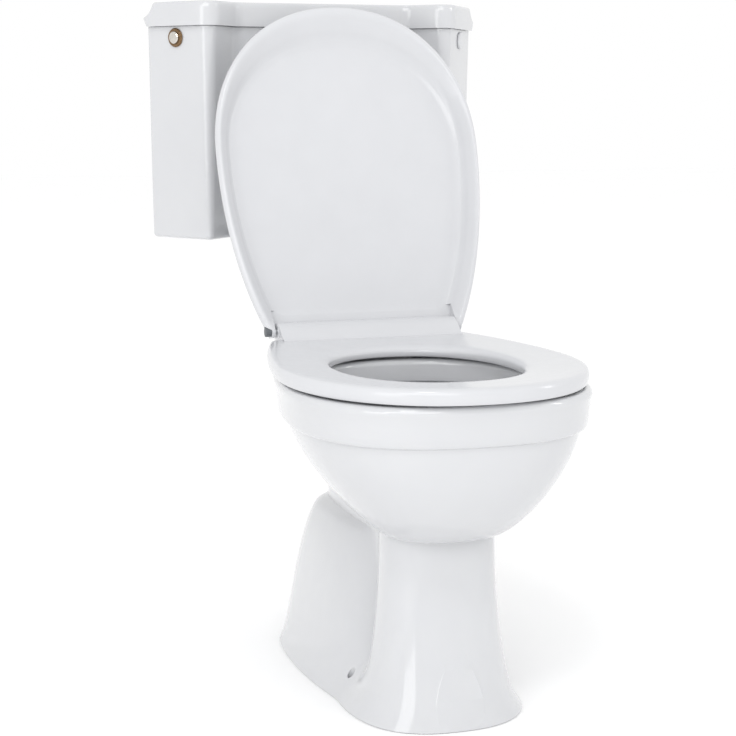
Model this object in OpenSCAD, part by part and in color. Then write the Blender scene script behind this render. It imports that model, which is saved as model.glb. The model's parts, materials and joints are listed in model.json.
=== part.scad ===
// Close-coupled corner toilet: ceramic pan, corner cistern, hinged seat and cover.
// The origin is the centre of the soil outlet at floor level. +X is the sitter's left,
// -Y is the front of the pan and +Z is up. All sizes are in millimetres.

/* [Pan] */
// Height of the ceramic rim above the floor
rim_z = 400; // [380:1:420]
// Distance of the front of the rim from the outlet centre
rim_front = 446; // [430:1:460]
// Distance that the deck reaches behind the outlet centre
deck_back = 118; // [105:1:125]
// Largest half width of the rim
rim_half_w = 181; // [175:1:186]
// Height of the vertical band under the rim
band_h = 48; // [40:1:56]
// Draught of the band towards its lower edge
band_taper = 5; // [2:0.5:8]
// Distance of the widest place of the rim from the outlet centre
rim_mid = 262; // [250:1:270]
// Step from the band in to the bowl below it
band_step = 9; // [5:0.5:12]
// Height of the waist between the bowl and the foot column
waist_z = 221; // [216:1:226]
// Half width of the column at the waist
waist_half_w = 68.5; // [65:0.5:74]
// Distance of the column's front from the outlet centre at the waist
waist_front = 334; // [330:1:340]
// Half width of the foot column at the floor
column_foot_half_w = 92.5; // [88:0.5:100]
// Distance of the foot's front from the outlet centre at the floor
foot_front = 374; // [368:1:382]
// Distance that the foot reaches behind the outlet centre
foot_back = 104; // [96:1:110]
// Half width of the flange around the foot
foot_half_w = 113.5; // [109:0.5:119]
// Height at which the foot flange has run out into the column
foot_flange_h = 111; // [95:1:120]
// Half width of the trap housing at the floor
trap_half_w = 113; // [109:1:116]
// Half width of the trap housing at its shoulder
trap_shoulder_half_w = 82; // [77:1:86]
// Height of the shoulder of the trap housing
trap_shoulder_z = 197; // [190:1:202]
// Thickness of the ceramic around the foot recess
foot_wall = 14; // [11:0.5:18]
// Height of the recess under the foot
foot_recess_h = 42; // [30:1:44]

/* [Bowl and waterways] */
// Half width of the bowl's mouth
mouth_half_w = 126; // [120:1:130]
// Distance of the front of the bowl's mouth from the outlet centre
mouth_front = 386; // [378:1:392]
// Distance of the back of the bowl's mouth from the outlet centre
mouth_back = 100; // [95:1:110]
// Depth of the inner face of the rim
rim_lip_h = 30; // [24:1:34]
// Depth of the undercut behind the rim's inner face
rim_undercut = 28; // [20:1:30]
// Distance of the sump from the outlet centre
sump_y = 255; // [250:1:258]
// Radius of the sump where the trapway starts
sump_r = 36; // [33:0.5:38]
// Inner radius of the trapway
trap_r = 28; // [25:0.5:29]
// Bend radius of the trapway's dip
dip_bend_r = 50; // [48:1:52]
// Height of the centres of the trapway's two bends
bend_z = 137; // [134:1:140]
// Inner radius of the soil outlet
outlet_r = 40; // [36:0.5:42]
// Outer radius of the soil outlet's spigot
spigot_r = 51; // [50:0.5:55]
// Radius of the flush inlet through the platform
flush_inlet_r = 24; // [20:0.5:26]
// Radius of the two floor screw holes
floor_hole_r = 5; // [4:0.25:6]
// Half the distance between the two floor screw holes
floor_hole_x = 86; // [82:1:90]
// Distance of the floor screw holes in front of the outlet centre
floor_hole_y = 210; // [204:1:216]

/* [Cistern platform] */
// Half width of the platform that carries the cistern
platform_half_w = 92; // [86:1:96]
// Distance of the platform's front from the outlet centre
platform_front = 176; // [168:1:184]
// Distance of the platform's back from the outlet centre
platform_back = 366; // [355:1:375]
// Gap between the platform and the cistern, filled by the gasket and the pads
platform_gap = 4; // [3:0.5:6]

/* [Cistern] */
// Height of the cistern's underside above the floor
cistern_z = 537; // [530:1:545]
// Height of the cistern body
cistern_h = 294; // [280:1:305]
// Thickness of the cistern's ceramic walls
cistern_wall = 10; // [8:0.5:12]
// Half the distance between the cistern's two front corners
front_corner_x = 173; // [168:1:178]
// Distance of the front corners behind the outlet centre
front_corner_y = 160; // [156:1:166]
// Half the width over the ends against the walls
wing_x = 242; // [236:1:248]
// Distance of the wing ends behind the outlet centre
wing_y = 254; // [248:1:260]
// Half width of the flat at the back of the cistern
back_flat_x = 68; // [60:1:80]
// Draught of the cistern's ends and front from the top down to the underside
end_taper = 8.5; // [3:0.5:10]
// Half width of the bay in the cistern's front
bay_half_w = 126; // [115:1:135]
// Distance of the bay's face behind the outlet centre
bay_y = 207; // [200:1:214]

/* [Cistern lid] */
// Overhang of the lid past the cistern body
lid_overhang = 6.5; // [4:0.5:9]
// Height of the lid's side
lid_h = 33; // [26:1:38]
// Thickness of the lid's top and sides
lid_wall = 9; // [7:0.5:11]
// Depth of the lid's locating rib inside the cistern
lid_rib_h = 10; // [6:0.5:14]
// Width of the cove along the lid's wall sides
lid_cove_w = 19; // [12:1:24]
// Height of the cove along the lid's wall sides
lid_cove_h = 20; // [14:1:21]

/* [Seat and cover] */
// Half width of the seat
seat_half_w = 183; // [176:1:188]
// Distance of the seat's front from the hinge line
seat_front = 454; // [445:1:460]
// Thickness of the seat at its outer edge
seat_t = 15.5; // [14:0.5:16.5]
// Gap between the rim and the seat, filled by the buffers
seat_gap = 5.5; // [5:0.5:6.5]
// Half width of the seat's opening
opening_half_w = 113; // [108:1:120]
// Distance of the opening's front from the hinge line
opening_front = 371; // [365:1:376]
// Distance of the opening's back from the hinge line
opening_back = 103; // [95:1:112]
// Distance of the seat's rear edge in front of the hinge line
seat_back = 12; // [11:0.5:16]
// Distance of the widest place of the seat in front of the hinge line
seat_mid = 246; // [236:1:256]
// Radius of the seat's rear corners
seat_corner_r = 14; // [10:1:18]
// Distance of the cover's front from the hinge line
cover_front = 448; // [440:1:458]
// Distance that the cover reaches behind the hinge line
cover_back = 8; // [6:0.5:9]
// Height of the cover's turned-down edge
cover_edge_h = 26; // [26:0.5:28]
// Thickness of the cover's shell
cover_t = 5; // [4:0.5:6]
// Gap between the edge of the closed cover and the seat
cover_gap = 0.6; // [0.5:0.1:1.5]
// How far the cover is opened at rest
cover_open = 108; // [100:1:108]

/* [Hinges] */
// Half the distance between the two hinge bolts
hinge_x = 77.5; // [70:0.5:80]
// Distance of the hinge line in front of the outlet centre
hinge_y = 0; // [-4:1:4]
// Height of the hinge rod above the rim
hinge_h = 29; // [28.8:0.1:29.4]
// Radius of the hinge posts' tops and of the cover's lugs
knuckle_r = 8.4; // [8:0.1:8.5]
// Radius of the seat's barrel, which roofs over the hinge posts
barrel_r = 11.5; // [11.2:0.1:11.6]
// Half length of the seat's barrel
barrel_half_w = 124; // [122:1:127]
// Radius of the hinge rod
rod_r = 4; // [3.5:0.25:4.5]
// Radius of the hinge bolts
hinge_bolt_r = 4; // [3:0.25:5]
// Running clearance of the hinged pieces on the rod
hinge_clear = 0.06; // [0.03:0.01:0.09]

/* [Flush button] */
// Radius of the push button
button_r = 8.2; // [7:0.1:9]
// Radius of the button's ring
ring_r = 13; // [11:0.25:14]
// Travel of the push button
button_travel = 5; // [3:0.5:6]
// Height of the button below the top of the cistern body
button_drop = 15.5; // [14:0.5:20]

/* [Hidden] */

$fn = 64;
// Clearance between pieces that sit against each other
seat_clear = 0.3;
// Overlap that makes a cut break cleanly through a face
cut = 1;

ceramic = "white";
plastic = "whitesmoke";
steel = "silver";
rubber = "dimgray";
fitting = "gainsboro";

// ---- Lofts ------------------------------------------------------------------

function ramp(v, low, high) = max(0, min(1, (v - low) / (high - low)));
// Rises from 0 to 1 over t with a rounded shoulder
function bulge(t, p, q) = pow(1 - pow(1 - t, p), 1 / q);
function soft_max(widths, n) = pow([for (w = widths) pow(w, n)] * [for (w = widths) 1], 1 / n);

// Faces of a closed skin over rings of points that turn anticlockwise seen from above
function band_faces(k, l, n) = [
    for (i = [0:n - 1])
        let (a = k * n + i, b = k * n + (i + 1) % n, c = l * n + (i + 1) % n, d = l * n + i)
            for (f = [[a, d, c], [a, c, b]]) f
];

module skin(rings, first_centre, last_centre) {
    n = len(rings[0]);
    m = len(rings);
    sides = [for (k = [0:m - 2]) for (f = band_faces(k, k + 1, n)) f];
    first_cap = [for (i = [0:n - 1]) [m * n, i, (i + 1) % n]];
    last_cap = [for (i = [0:n - 1]) [m * n + 1, (m - 1) * n + (i + 1) % n, (m - 1) * n + i]];
    points = [for (r = rings) for (p = r) p];
    polyhedron(concat(points, [first_centre, last_centre]), concat(sides, first_cap, last_cap));
}

module loop_skin(rings) {
    n = len(rings[0]);
    m = len(rings);
    polyhedron([for (r = rings) for (p = r) p], [for (k = [0:m - 1]) for (f = band_faces(k, (k + 1) % m, n)) f]);
}

// ---- Rounded plan outlines --------------------------------------------------

function unit(v) = v / norm(v);
function turned(v, a) = [v[0] * cos(a) - v[1] * sin(a), v[0] * sin(a) + v[1] * cos(a)];
function side_of(u, v) = u[0] * v[1] - u[1] * v[0];
function inward(p, i) =
    let (e = unit(p[(i + 1) % len(p)] - p[i]))
        [-e[1], e[0]];

// Moves each side of an anticlockwise outline inwards by its own distance
function inset_sides(p, d) = [
    for (i = [0:len(p) - 1])
        let (
            j = (i + len(p) - 1) % len(p),
            m = inward(p, j),
            n = inward(p, i)
        )
            p[i] + [d[j] * n[1] - d[i] * m[1], d[i] * m[0] - d[j] * n[0]] / side_of(m, n)
];

// Replaces each corner by an arc of its own radius, drawn with the given number of steps
function rounded(p, r, steps) = [
    for (i = [0:len(p) - 1])
        let (
            b = p[i],
            u = unit(p[(i + len(p) - 1) % len(p)] - b),
            v = unit(p[(i + 1) % len(p)] - b),
            half = acos(u * v) / 2,
            middle = b + unit(u + v) * r[i] / sin(half),
            first = b + u * r[i] / tan(half) - middle,
            sweep = sign(side_of(v, u)) * (180 - 2 * half)
        )
            for (k = [0:steps])
                middle + turned(first, sweep * k / steps)
];

function at_height(p, z) = [for (q = p) [q[0], q[1], z]];

// ---- Pan --------------------------------------------------------------------

band_z = rim_z - band_h;
half_steps = 30;

// One lobe of a level section: its half width at y, from the front end over the widest place
function lobe(y, s) =
    y <= s[1] || y >= s[3] ? 0 :
    let (
        u = y < s[2] ? (s[2] - y) / (s[2] - s[1]) : (y - s[2]) / (s[3] - s[2]),
        power = y < s[2] ? s[4] : s[5]
    )
        s[0] * pow(1 - pow(u, power), 1 / power);

// Widest place of the column, and back of the column at the waist
column_mid = 285;
floor_hole_h = 42;
column_back = 211;
valley_y = -212;
bowl_power = 2.36;
rim_power = 2.46;
rim_tail_power = 1.7;
trap_power = 2.6;
neck_half_w = 50;
neck_back = 62;

function swell(z) = bulge(ramp(z, waist_z, band_z), 1.5, 1.11);

function column_lobe(z) =
    z >= band_z - 0.01 ? let (t = (z - band_z) / band_h)
        [
            rim_half_w - band_taper * (1 - t),
            -rim_front + band_taper * (1 - t),
            -rim_mid,
            deck_back - 2 * band_taper * (1 - t),
            rim_power,
            rim_tail_power
        ] :
    z >= waist_z ? [
        waist_half_w + (rim_half_w - band_taper - band_step - waist_half_w) * swell(z),
        -waist_front - (rim_front - band_taper - band_step / 2 - waist_front)
            * bulge(ramp(z, waist_z, band_z), 1.9, 2.1),
        -column_mid + (column_mid - rim_mid) * swell(z),
        -column_back + (deck_back - 2 * band_taper - band_step + column_back) * pow(swell(z), 2.5),
        bowl_power + (rim_power - bowl_power) * swell(z),
        bowl_power + (rim_tail_power - bowl_power) * swell(z)
    ] : [
        waist_half_w + (column_foot_half_w - waist_half_w) * pow(1 - z / waist_z, 2.25),
        -waist_front - (foot_front - waist_front) * pow(1 - z / waist_z, 1.46),
        -column_mid,
        -column_back,
        bowl_power,
        bowl_power
    ];

function trap_lobe(z) =
    let (
        t = min(1, z / trap_shoulder_z),
        side = trap_half_w + (trap_shoulder_half_w - trap_half_w) * t
    ) [
        neck_half_w + (side - neck_half_w) * pow(1 - pow(t, 4.1), 1 / 4.1),
        -190 - 60 * (1 - t),
        -20,
        foot_back - (foot_back - neck_back) * t * t + (110 - neck_back) * pow(ramp(z, trap_shoulder_z, 300), 2),
        trap_power,
        trap_power
    ];

function flange_lobe(z) = [
    foot_half_w * pow(max(0, 1 - z / foot_flange_h), 1.2), -foot_front, -135, foot_back, trap_power, trap_power
];

// Web around the trapway that joins the column to the trap housing across the valley
function neck_lobe(z) = [neck_half_w - 4, -310, -150, trap_lobe(z)[3] - 2, trap_power, trap_power];

function pan_half_w(y, z) = soft_max([
    lobe(y, column_lobe(z)), lobe(y, trap_lobe(z)), lobe(y, flange_lobe(z)), lobe(y, neck_lobe(z))
], 6);

// Level ring of the pan's outer skin, drawn closer at the ends and in the valley behind the column
function pan_ring(z, at_z, inset = 0) =
    let (
        front = min(column_lobe(z)[1], trap_lobe(z)[1]),
        back = max(column_lobe(z)[3], trap_lobe(z)[3]),
        widest = max([for (y = [front:6:back]) pan_half_w(y, z)]),
        ys = [
            for (i = [0:half_steps / 2]) front + (valley_y - front) * (1 - cos(360 * i / half_steps)) / 2,
            for (i = [1:half_steps / 2]) valley_y + (back - valley_y) * (1 - cos(360 * i / half_steps)) / 2
        ],
        middle = (front + back) / 2,
        shrink_y = 1 - 2 * inset / (back - front),
        shrink_x = 1 - inset / widest,
        side = [
            for (y = ys)
                [pan_half_w(y, z) * shrink_x, middle + (y - middle) * shrink_y, at_z]
        ]
    )
        mirrored(side);

function mirrored(side) =
    let (n = len(side) - 1) [
        for (i = [0:n]) i == 0 || i == n ? [0, side[i][1], side[i][2]] : side[i],
        for (i = [n - 1:-1:1]) [-side[i][0], side[i][1], side[i][2]]
    ];

// Level ring of the bowl: half width, front, back and widest place
function bowl_ring(w, front, back, mid, z) =
    let (
        side = [
            for (i = [0:half_steps])
                let (
                    a = 180 * i / half_steps,
                    reach = i < half_steps / 2 ? mid - front : back - mid
                )
                    [
                        w * pow(sin(a), 2 / bowl_power),
                        mid - sign(cos(a)) * reach * pow(abs(cos(a)), 2 / bowl_power),
                        z
                    ]
        ]
    )
        mirrored(side);

sump_z = 152;
undercut_z = rim_z - rim_lip_h;
bowl_mid = 245;

function mouth_ring(grow, z) =
    bowl_ring(mouth_half_w + grow, -mouth_front - grow, -mouth_back + grow, -bowl_mid, z);

// The bowl's inner wall from the sump up to the undercut. Its front swells earlier than its sides.
function bowl_wall(z) =
    let (
        top = undercut_z - 6,
        t = bulge(ramp(z, waist_z + 2, top), 1.5, 1.11),
        f = bulge(ramp(z, waist_z, top), 1.9, 2.1)
    )
        bowl_ring(
            sump_r + (mouth_half_w + rim_undercut - sump_r) * t,
            -sump_y - sump_r - (mouth_front + rim_undercut - sump_y - sump_r) * f,
            -sump_y + sump_r + (sump_y - sump_r - mouth_back + rim_undercut) * pow(t, 1.5),
            -sump_y + (sump_y - bowl_mid) * pow(t, 1.5),
            z
        );

module pan_shell() {
    recess = pan_ring(foot_recess_h, 0, foot_wall);
    skin(
        concat(
            [
                at_height(recess, foot_recess_h),
                recess
            ],
            [for (z = [0, 5, 13, 24, 36, 50, 66, 86, 108, 130, 150, 164, 175, 183, 190, 200, 210])
                pan_ring(z, z)],
            [for (t = [0, 0.03, 0.08, 0.16, 0.28, 0.42, 0.57, 0.73, 0.88, 0.975])
                let (z = waist_z + (band_z - waist_z) * t)
                    pan_ring(z, z)],
            [
                pan_ring(band_z, band_z - 0.2, 2),
                pan_ring(band_z, band_z + 2.5),
                pan_ring(rim_z - 12, rim_z - 12),
                pan_ring(rim_z, rim_z - 5, 0.6),
                pan_ring(rim_z, rim_z - 1.6, 3),
                pan_ring(rim_z, rim_z, 8)
            ],
            [
                mouth_ring(8, rim_z),
                mouth_ring(2.2, rim_z - 2),
                mouth_ring(0, rim_z - 7),
                mouth_ring(0, undercut_z + 3),
                mouth_ring(rim_undercut * 0.6, undercut_z)
            ],
            [for (t = [0, 0.16, 0.32, 0.48, 0.62, 0.75, 0.86, 0.95, 1])
                bowl_wall((undercut_z - 6) * (1 - t) + (waist_z - 20) * t)],
            [bowl_wall(sump_z)]
        ),
        [0, -150, foot_recess_h],
        [0, -sump_y, sump_z]
    );
}

// Shelf behind the deck that rises from the pan and carries the cistern
platform_z = cistern_z - platform_gap;
flush_y = 285;
platform_foot_z = 262;

function platform_ring(z, at_z, inset) =
    let (
        front = z < rim_z ? 22 + (72 - 22) * ramp(z, platform_foot_z, rim_z) :
            72 + (platform_front - 72) * pow(ramp(z, rim_z, platform_z), 0.8),
        back = 70 + (platform_back - 70) * pow(ramp(z, platform_foot_z, platform_z - 28), 1.2),
        w = 38 + (platform_half_w - 38) * bulge(ramp(z, platform_foot_z, rim_z + 40), 1.3, 1.3),
        middle = (front + back) / 2,
        reach = (back - front) / 2 - inset,
        power = 3.2
    ) [
        for (i = [0:47])
            let (a = 7.5 * i - 90)
                [
                    (w - inset) * sign(cos(a)) * pow(abs(cos(a)), 2 / power),
                    middle + reach * sign(sin(a)) * pow(abs(sin(a)), 2 / power),
                    at_z
                ]
    ];

module platform_shell() {
    skin(
        concat(
            [for (z = [platform_foot_z, 290, 320, 350, 380, 405, 430, 455, 480, 505, platform_z - 6])
                platform_ring(z, z, 0)],
            [
                platform_ring(platform_z, platform_z - 2, 1.5),
                platform_ring(platform_z, platform_z, 5)
            ]
        ),
        [0, 45, platform_foot_z],
        [0, (platform_front + platform_back) / 2, platform_z]
    );
}

// Trapway: down from the sump, round the dip, over the weir and down to the outlet
crown_bend_r = (sump_y - 2 * dip_bend_r) / 2;

module half_bend(bend_r, tube_r) {
    rotate([90, 0, 90])
        rotate_extrude(angle = 180)
            translate([bend_r, 0])
                circle(tube_r);
}

module trapway() {
    translate([0, -sump_y, bend_z])
        cylinder(r = trap_r, h = sump_z - bend_z + cut);
    translate([0, -sump_y + dip_bend_r, bend_z])
        mirror([0, 0, 1])
            half_bend(dip_bend_r, trap_r);
    translate([0, -crown_bend_r, bend_z])
        half_bend(crown_bend_r, trap_r);
    translate([0, 0, outlet_depth])
        cylinder(r = trap_r, h = bend_z - outlet_depth);
}

outlet_depth = 60;
flush_duct_r = 18;
flush_duct_z = rim_z - 50;
flush_knee_y = 70;
flush_drop_z = platform_z - 53;
recess_r = 50;
recess_h = 26;
bolt_x = 64;
bolt_y = 316;
bolt_hole_r = 6;
bolt_face_z = platform_z - 28;
bolt_face_r = 15;
hinge_face_z = rim_z - 28;
hinge_face_r = 15;
hinge_hole_r = 7;

module flush_duct() {
    translate([0, flush_y, platform_z - recess_h])
        cylinder(r = recess_r, h = recess_h + cut);
    translate([0, flush_y, flush_drop_z - flush_duct_r - 2])
        cylinder(r = flush_inlet_r, h = platform_z - flush_drop_z);
    run = flush_y - flush_knee_y;
    drop = flush_drop_z - flush_duct_z;
    translate([0, flush_knee_y, flush_duct_z])
        rotate([-atan(run / drop), 0, 0])
            cylinder(r = flush_duct_r, h = norm([run, drop]));
    translate([0, flush_knee_y + flush_duct_r, flush_duct_z])
        rotate([90, 0, 0])
            cylinder(r = flush_duct_r + 2, h = flush_knee_y + flush_duct_r + mouth_back + 8);
}

module pan() {
    color(ceramic)
        difference() {
            union() {
                pan_shell();
                platform_shell();
                cylinder(r = spigot_r, h = foot_recess_h + cut);
            }
            trapway();
            translate([0, 0, -cut])
                cylinder(r = outlet_r, h = outlet_depth + cut);
            flush_duct();
            for (side = [-1, 1]) {
                translate([side * floor_hole_x, -floor_hole_y, -cut])
                    cylinder(r = floor_hole_r, h = floor_hole_h);
                translate([side * bolt_x, bolt_y, bolt_face_z - cut])
                    cylinder(r = bolt_hole_r, h = platform_z - bolt_face_z + 2 * cut);
                translate([side * bolt_x, bolt_y, platform_foot_z])
                    cylinder(r = bolt_face_r, h = bolt_face_z - platform_foot_z);
                translate([side * hinge_x, -hinge_y, hinge_face_z - cut])
                    cylinder(r = hinge_hole_r, h = rim_z - hinge_face_z + 2 * cut);
                translate([side * hinge_x, -hinge_y, waist_z])
                    cylinder(r = hinge_face_r, h = hinge_face_z - waist_z);
            }
        }
}
pan();

// ---- Cistern ----------------------------------------------------------------

cistern_top = cistern_z + cistern_h;
cistern_floor = cistern_wall + 2;
floor_z = cistern_z + cistern_floor;
back_y = wing_y + wing_x - back_flat_x;
front_corner_r = 16;
bay_corner_r = 30;
wing_corner_r = 8;
back_corner_r = 15;
corner_steps = 6;

// Anticlockwise from the front corner beside the flush button
cistern_plan = [
    [-front_corner_x, front_corner_y],
    [-bay_half_w, bay_y],
    [bay_half_w, bay_y],
    [front_corner_x, front_corner_y],
    [wing_x, wing_y],
    [back_flat_x, back_y],
    [-back_flat_x, back_y],
    [-wing_x, wing_y]
];

// Outline at one distance inside the body's own on the show sides and another on the wall sides
function cistern_outline(d, wall_d) =
    let (
        all = [d, d, d, d, wall_d, wall_d, wall_d, d],
        convex = 1.5
    )
        rounded(
            inset_sides(cistern_plan, all),
            [
                max(convex, front_corner_r - d),
                bay_corner_r + d,
                bay_corner_r + d,
                max(convex, front_corner_r - d),
                max(convex, wing_corner_r - d),
                max(convex, back_corner_r - wall_d),
                max(convex, back_corner_r - wall_d),
                max(convex, wing_corner_r - d)
            ],
            corner_steps
        );

function cistern_ring(d, wall_d, z) = at_height(cistern_outline(d, wall_d), z);
function draught(z) = end_taper * (cistern_top - z) / cistern_h;
function tapered_ring(d, z) = cistern_ring(d + draught(z), d, z);
end_tilt = atan(end_taper / cistern_h);

cistern_centre = [0, 365];
end_normal = unit([wing_y - front_corner_y, front_corner_x - wing_x]);
end_share = 0.53;
button_x = front_corner_x + (wing_x - front_corner_x) * end_share;
button_y = front_corner_y + (wing_y - front_corner_y) * end_share;
button_z = cistern_top - button_drop;
sleeve_r = ring_r - 2.2;
end_hole_r = sleeve_r + seat_clear;
wall_screw_r = 3.5;
wall_screw_pitch = 100;
wall_screw_z = cistern_top - 41;
wall_screw_x = (wing_x + back_flat_x) / 2;
wall_screw_y = (wing_y + back_y) / 2;
fill_x = 178;
fill_y = 235;
tail_r = 30.5;
fill_tail_r = 10.4;
fill_shank_r = 11.2;

// Local frame of an end face: +Z out of the ceramic, origin on its outer face
module at_end_face(side) {
    translate([side * button_x, button_y, button_z])
        rotate([90 + end_tilt, 0, side * atan2(end_normal[0], -end_normal[1])])
            translate([0, 0, -draught(button_z)])
                children();
}

module cistern_body() {
    edge = 5;
    color(ceramic)
        difference() {
            skin(
                [
                    tapered_ring(edge, cistern_z),
                    tapered_ring(edge * 0.3, cistern_z + edge * 0.3),
                    tapered_ring(0, cistern_z + edge),
                    tapered_ring(0, cistern_top - 1.5),
                    tapered_ring(1.5, cistern_top)
                ],
                [cistern_centre[0], cistern_centre[1], cistern_z],
                [cistern_centre[0], cistern_centre[1], cistern_top]
            );
            skin(
                [tapered_ring(cistern_wall, floor_z), tapered_ring(cistern_wall, cistern_top + cut)],
                [cistern_centre[0], cistern_centre[1], floor_z],
                [cistern_centre[0], cistern_centre[1], cistern_top + cut]
            );
            translate([0, flush_y, cistern_z - cut])
                cylinder(r = tail_r + seat_clear, h = cistern_floor + 2 * cut);
            translate([fill_x, fill_y, cistern_z - cut])
                cylinder(r = fill_shank_r + seat_clear, h = cistern_floor + 2 * cut);
            for (side = [-1, 1]) {
                translate([side * bolt_x, bolt_y, cistern_z - cut])
                    cylinder(r = bolt_hole_r, h = cistern_floor + 2 * cut);
                at_end_face(side)
                    translate([0, 0, -cistern_wall - 6])
                        cylinder(r = end_hole_r, h = cistern_wall + 12);
                translate([side * wall_screw_x, wall_screw_y, wall_screw_z])
                    rotate([90, 0, side * 135])
                        for (k = [-0.5, 0.5])
                            translate([k * wall_screw_pitch, 0, -cistern_wall - 6])
                                cylinder(r = wall_screw_r, h = cistern_wall + 12);
            }
        }
}
cistern_body();

// Lid with a cove along both wall sides and ribs that locate it inside the body
lid_z = cistern_top + seat_clear;
lid_top = lid_z + lid_h;
rib_gap = 1.5;
rib_t = 6;

module lid_rib(length) {
    translate([-length / 2, 0, lid_z - lid_rib_h])
        cube([length, rib_t, lid_rib_h + lid_h - lid_wall + cut]);
}

module cistern_lid() {
    beak_z = lid_top - lid_cove_h;
    out = -lid_overhang;
    color(ceramic) {
        difference() {
            skin(
                concat(
                    [
                        cistern_ring(out + 1.2, -1, lid_z),
                        cistern_ring(out + 0.2, -1.3, lid_z + 1),
                        cistern_ring(out, out + 0.8, beak_z - 3.5),
                        cistern_ring(out, out, beak_z - 2.5),
                        cistern_ring(out, out, beak_z - 1)
                    ],
                    [for (t = [0, 0.2, 0.4, 0.6, 0.8, 0.94])
                        cistern_ring(
                            out + 2 * pow(t, 8),
                            out + 1 + (lid_cove_w - 2.5) * (0.4 * t + 0.6 * sin(90 * t)),
                            beak_z + (lid_cove_h - 0.5) * (0.4 * t + 0.6 * (1 - cos(90 * t)))
                        )],
                    [cistern_ring(out + 4, out + lid_cove_w + 1, lid_top)]
                ),
                [cistern_centre[0], cistern_centre[1], lid_z],
                [cistern_centre[0], cistern_centre[1], lid_top]
            );
            translate([0, 0, lid_z - cut])
                linear_extrude(lid_h - lid_wall + cut)
                    polygon(cistern_outline(out + lid_wall, out + lid_cove_w + lid_wall - 6));
        }
        translate([0, bay_y + cistern_wall + rib_gap, 0])
            lid_rib(1.4 * bay_half_w);
        for (side = [-1, 1])
            translate([side * wall_screw_x, wall_screw_y, 0])
                rotate([0, 0, side * 135])
                    translate([0, cistern_wall + rib_gap + lid_cove_w - lid_overhang, 0])
                        lid_rib(110);
    }
}
cistern_lid();

// ---- Cistern fixings --------------------------------------------------------

module ring_of(r_out, r_in, h) {
    difference() {
        cylinder(r = r_out, h = h);
        translate([0, 0, -cut])
            cylinder(r = r_in, h = h + 2 * cut);
    }
}

module at_bolts() {
    for (side = [-1, 1])
        translate([side * bolt_x, bolt_y, 0])
            children();
}

// Nut with two wings, drawn from its upper face down
module wing_nut(bore_r, body_r, span_r, h) {
    difference() {
        union() {
            translate([0, 0, -h])
                cylinder(r = body_r, h = h);
            translate([-span_r, -1.25, -h - 2])
                cube([2 * span_r, 2.5, h]);
        }
        translate([0, 0, -h - 2 - cut])
            cylinder(r = bore_r, h = h + 2 + 2 * cut);
    }
}

bolt_r = 4;
bolt_clear = 0.3;
bolt_head_h = 5;
bolt_seal_t = 3;
washer_t = 1.5;
flush_nut_r = 42;
flush_nut_h = 12;

module coupling_gasket() {
    color(rubber)
        translate([0, flush_y, platform_z - recess_h + seat_clear])
            ring_of(recess_r - seat_clear, flush_nut_r + 1, recess_h + platform_gap - 2 * seat_clear);
}
coupling_gasket();

module cistern_pads() {
    color(rubber)
        at_bolts()
            translate([0, 0, platform_z + seat_clear])
                ring_of(13, bolt_hole_r + 1, platform_gap - 2 * seat_clear);
}
cistern_pads();

module cistern_bolt_seals() {
    color(rubber)
        at_bolts()
            translate([0, 0, floor_z + seat_clear])
                ring_of(12, bolt_r + bolt_clear, bolt_seal_t - seat_clear);
}
cistern_bolt_seals();

module cistern_bolts() {
    head_z = floor_z + bolt_seal_t + seat_clear;
    end_z = bolt_face_z - 22;
    color(steel)
        at_bolts() {
            translate([0, 0, end_z])
                cylinder(r = bolt_r, h = head_z - end_z + 1);
            translate([0, 0, head_z])
                cylinder(r = 9, h = bolt_head_h);
        }
}
cistern_bolts();

module cistern_bolt_washers() {
    color(steel)
        at_bolts()
            translate([0, 0, bolt_face_z - seat_clear - washer_t])
                ring_of(bolt_face_r - 1.5, bolt_r + bolt_clear, washer_t);
}
cistern_bolt_washers();

module cistern_wing_nuts() {
    color(plastic)
        at_bolts()
            translate([0, 0, bolt_face_z - washer_t - 2 * seat_clear])
                wing_nut(bolt_r + bolt_clear, 7.5, 12.5, 9);
}
cistern_wing_nuts();

// ---- Seat and cover ---------------------------------------------------------

seat_z = rim_z + seat_gap;
hinge_z = rim_z + hinge_h;
front_power = 2.15;
opening_power = 2.2;
opening_mid = -(opening_front + opening_back) / 2;
opening_half_h = (opening_front - opening_back) / 2;
seat_lobe = [seat_half_w, -seat_front, -seat_mid, 170, front_power, 1.6];
cover_lobe = [seat_half_w + 2, -cover_front, -seat_mid, 121, front_power, 2];

// Half of an outline from the nose along the side s to the middle of the rear edge
function seat_side(s, back, corner_r) =
    let (
        front = s[1],
        turn = back - corner_r,
        w = lobe(turn, s),
        lean = (lobe(turn, s) - lobe(back, s)) * 0.6
    ) concat(
        [for (i = [0:22]) let (y = front + (turn - front) * (1 - cos(90 * i / 22))) [lobe(y, s), y, 0]],
        [for (i = [1:5])
            let (a = 18 * i)
                [w - corner_r * (1 - cos(a)) - lean * sin(a), turn + corner_r * sin(a), 0]],
        [for (k = [0.66, 0.33, 0]) [(w - corner_r - lean) * k, back, 0]]
    );

seat_outline = mirrored(seat_side(seat_lobe, -seat_back, seat_corner_r));
cover_outline = mirrored(seat_side(cover_lobe, cover_back, 12));

// Point of the opening's edge on the ray from its centre through p
function opening_point(p) =
    let (
        d = [p[0], p[1] - opening_mid],
        k = pow(
            pow(abs(d[0]) / opening_half_w, opening_power) + pow(abs(d[1]) / opening_half_h, opening_power),
            1 / opening_power
        )
    )
        [d[0] / k, opening_mid + d[1] / k, 0];

// Ring between the seat's outer edge (0) and its opening (1)
function seat_loop(f, z) = [for (p = seat_outline) let (q = p + (opening_point(p) - p) * f) [q[0], q[1], z]];

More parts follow.
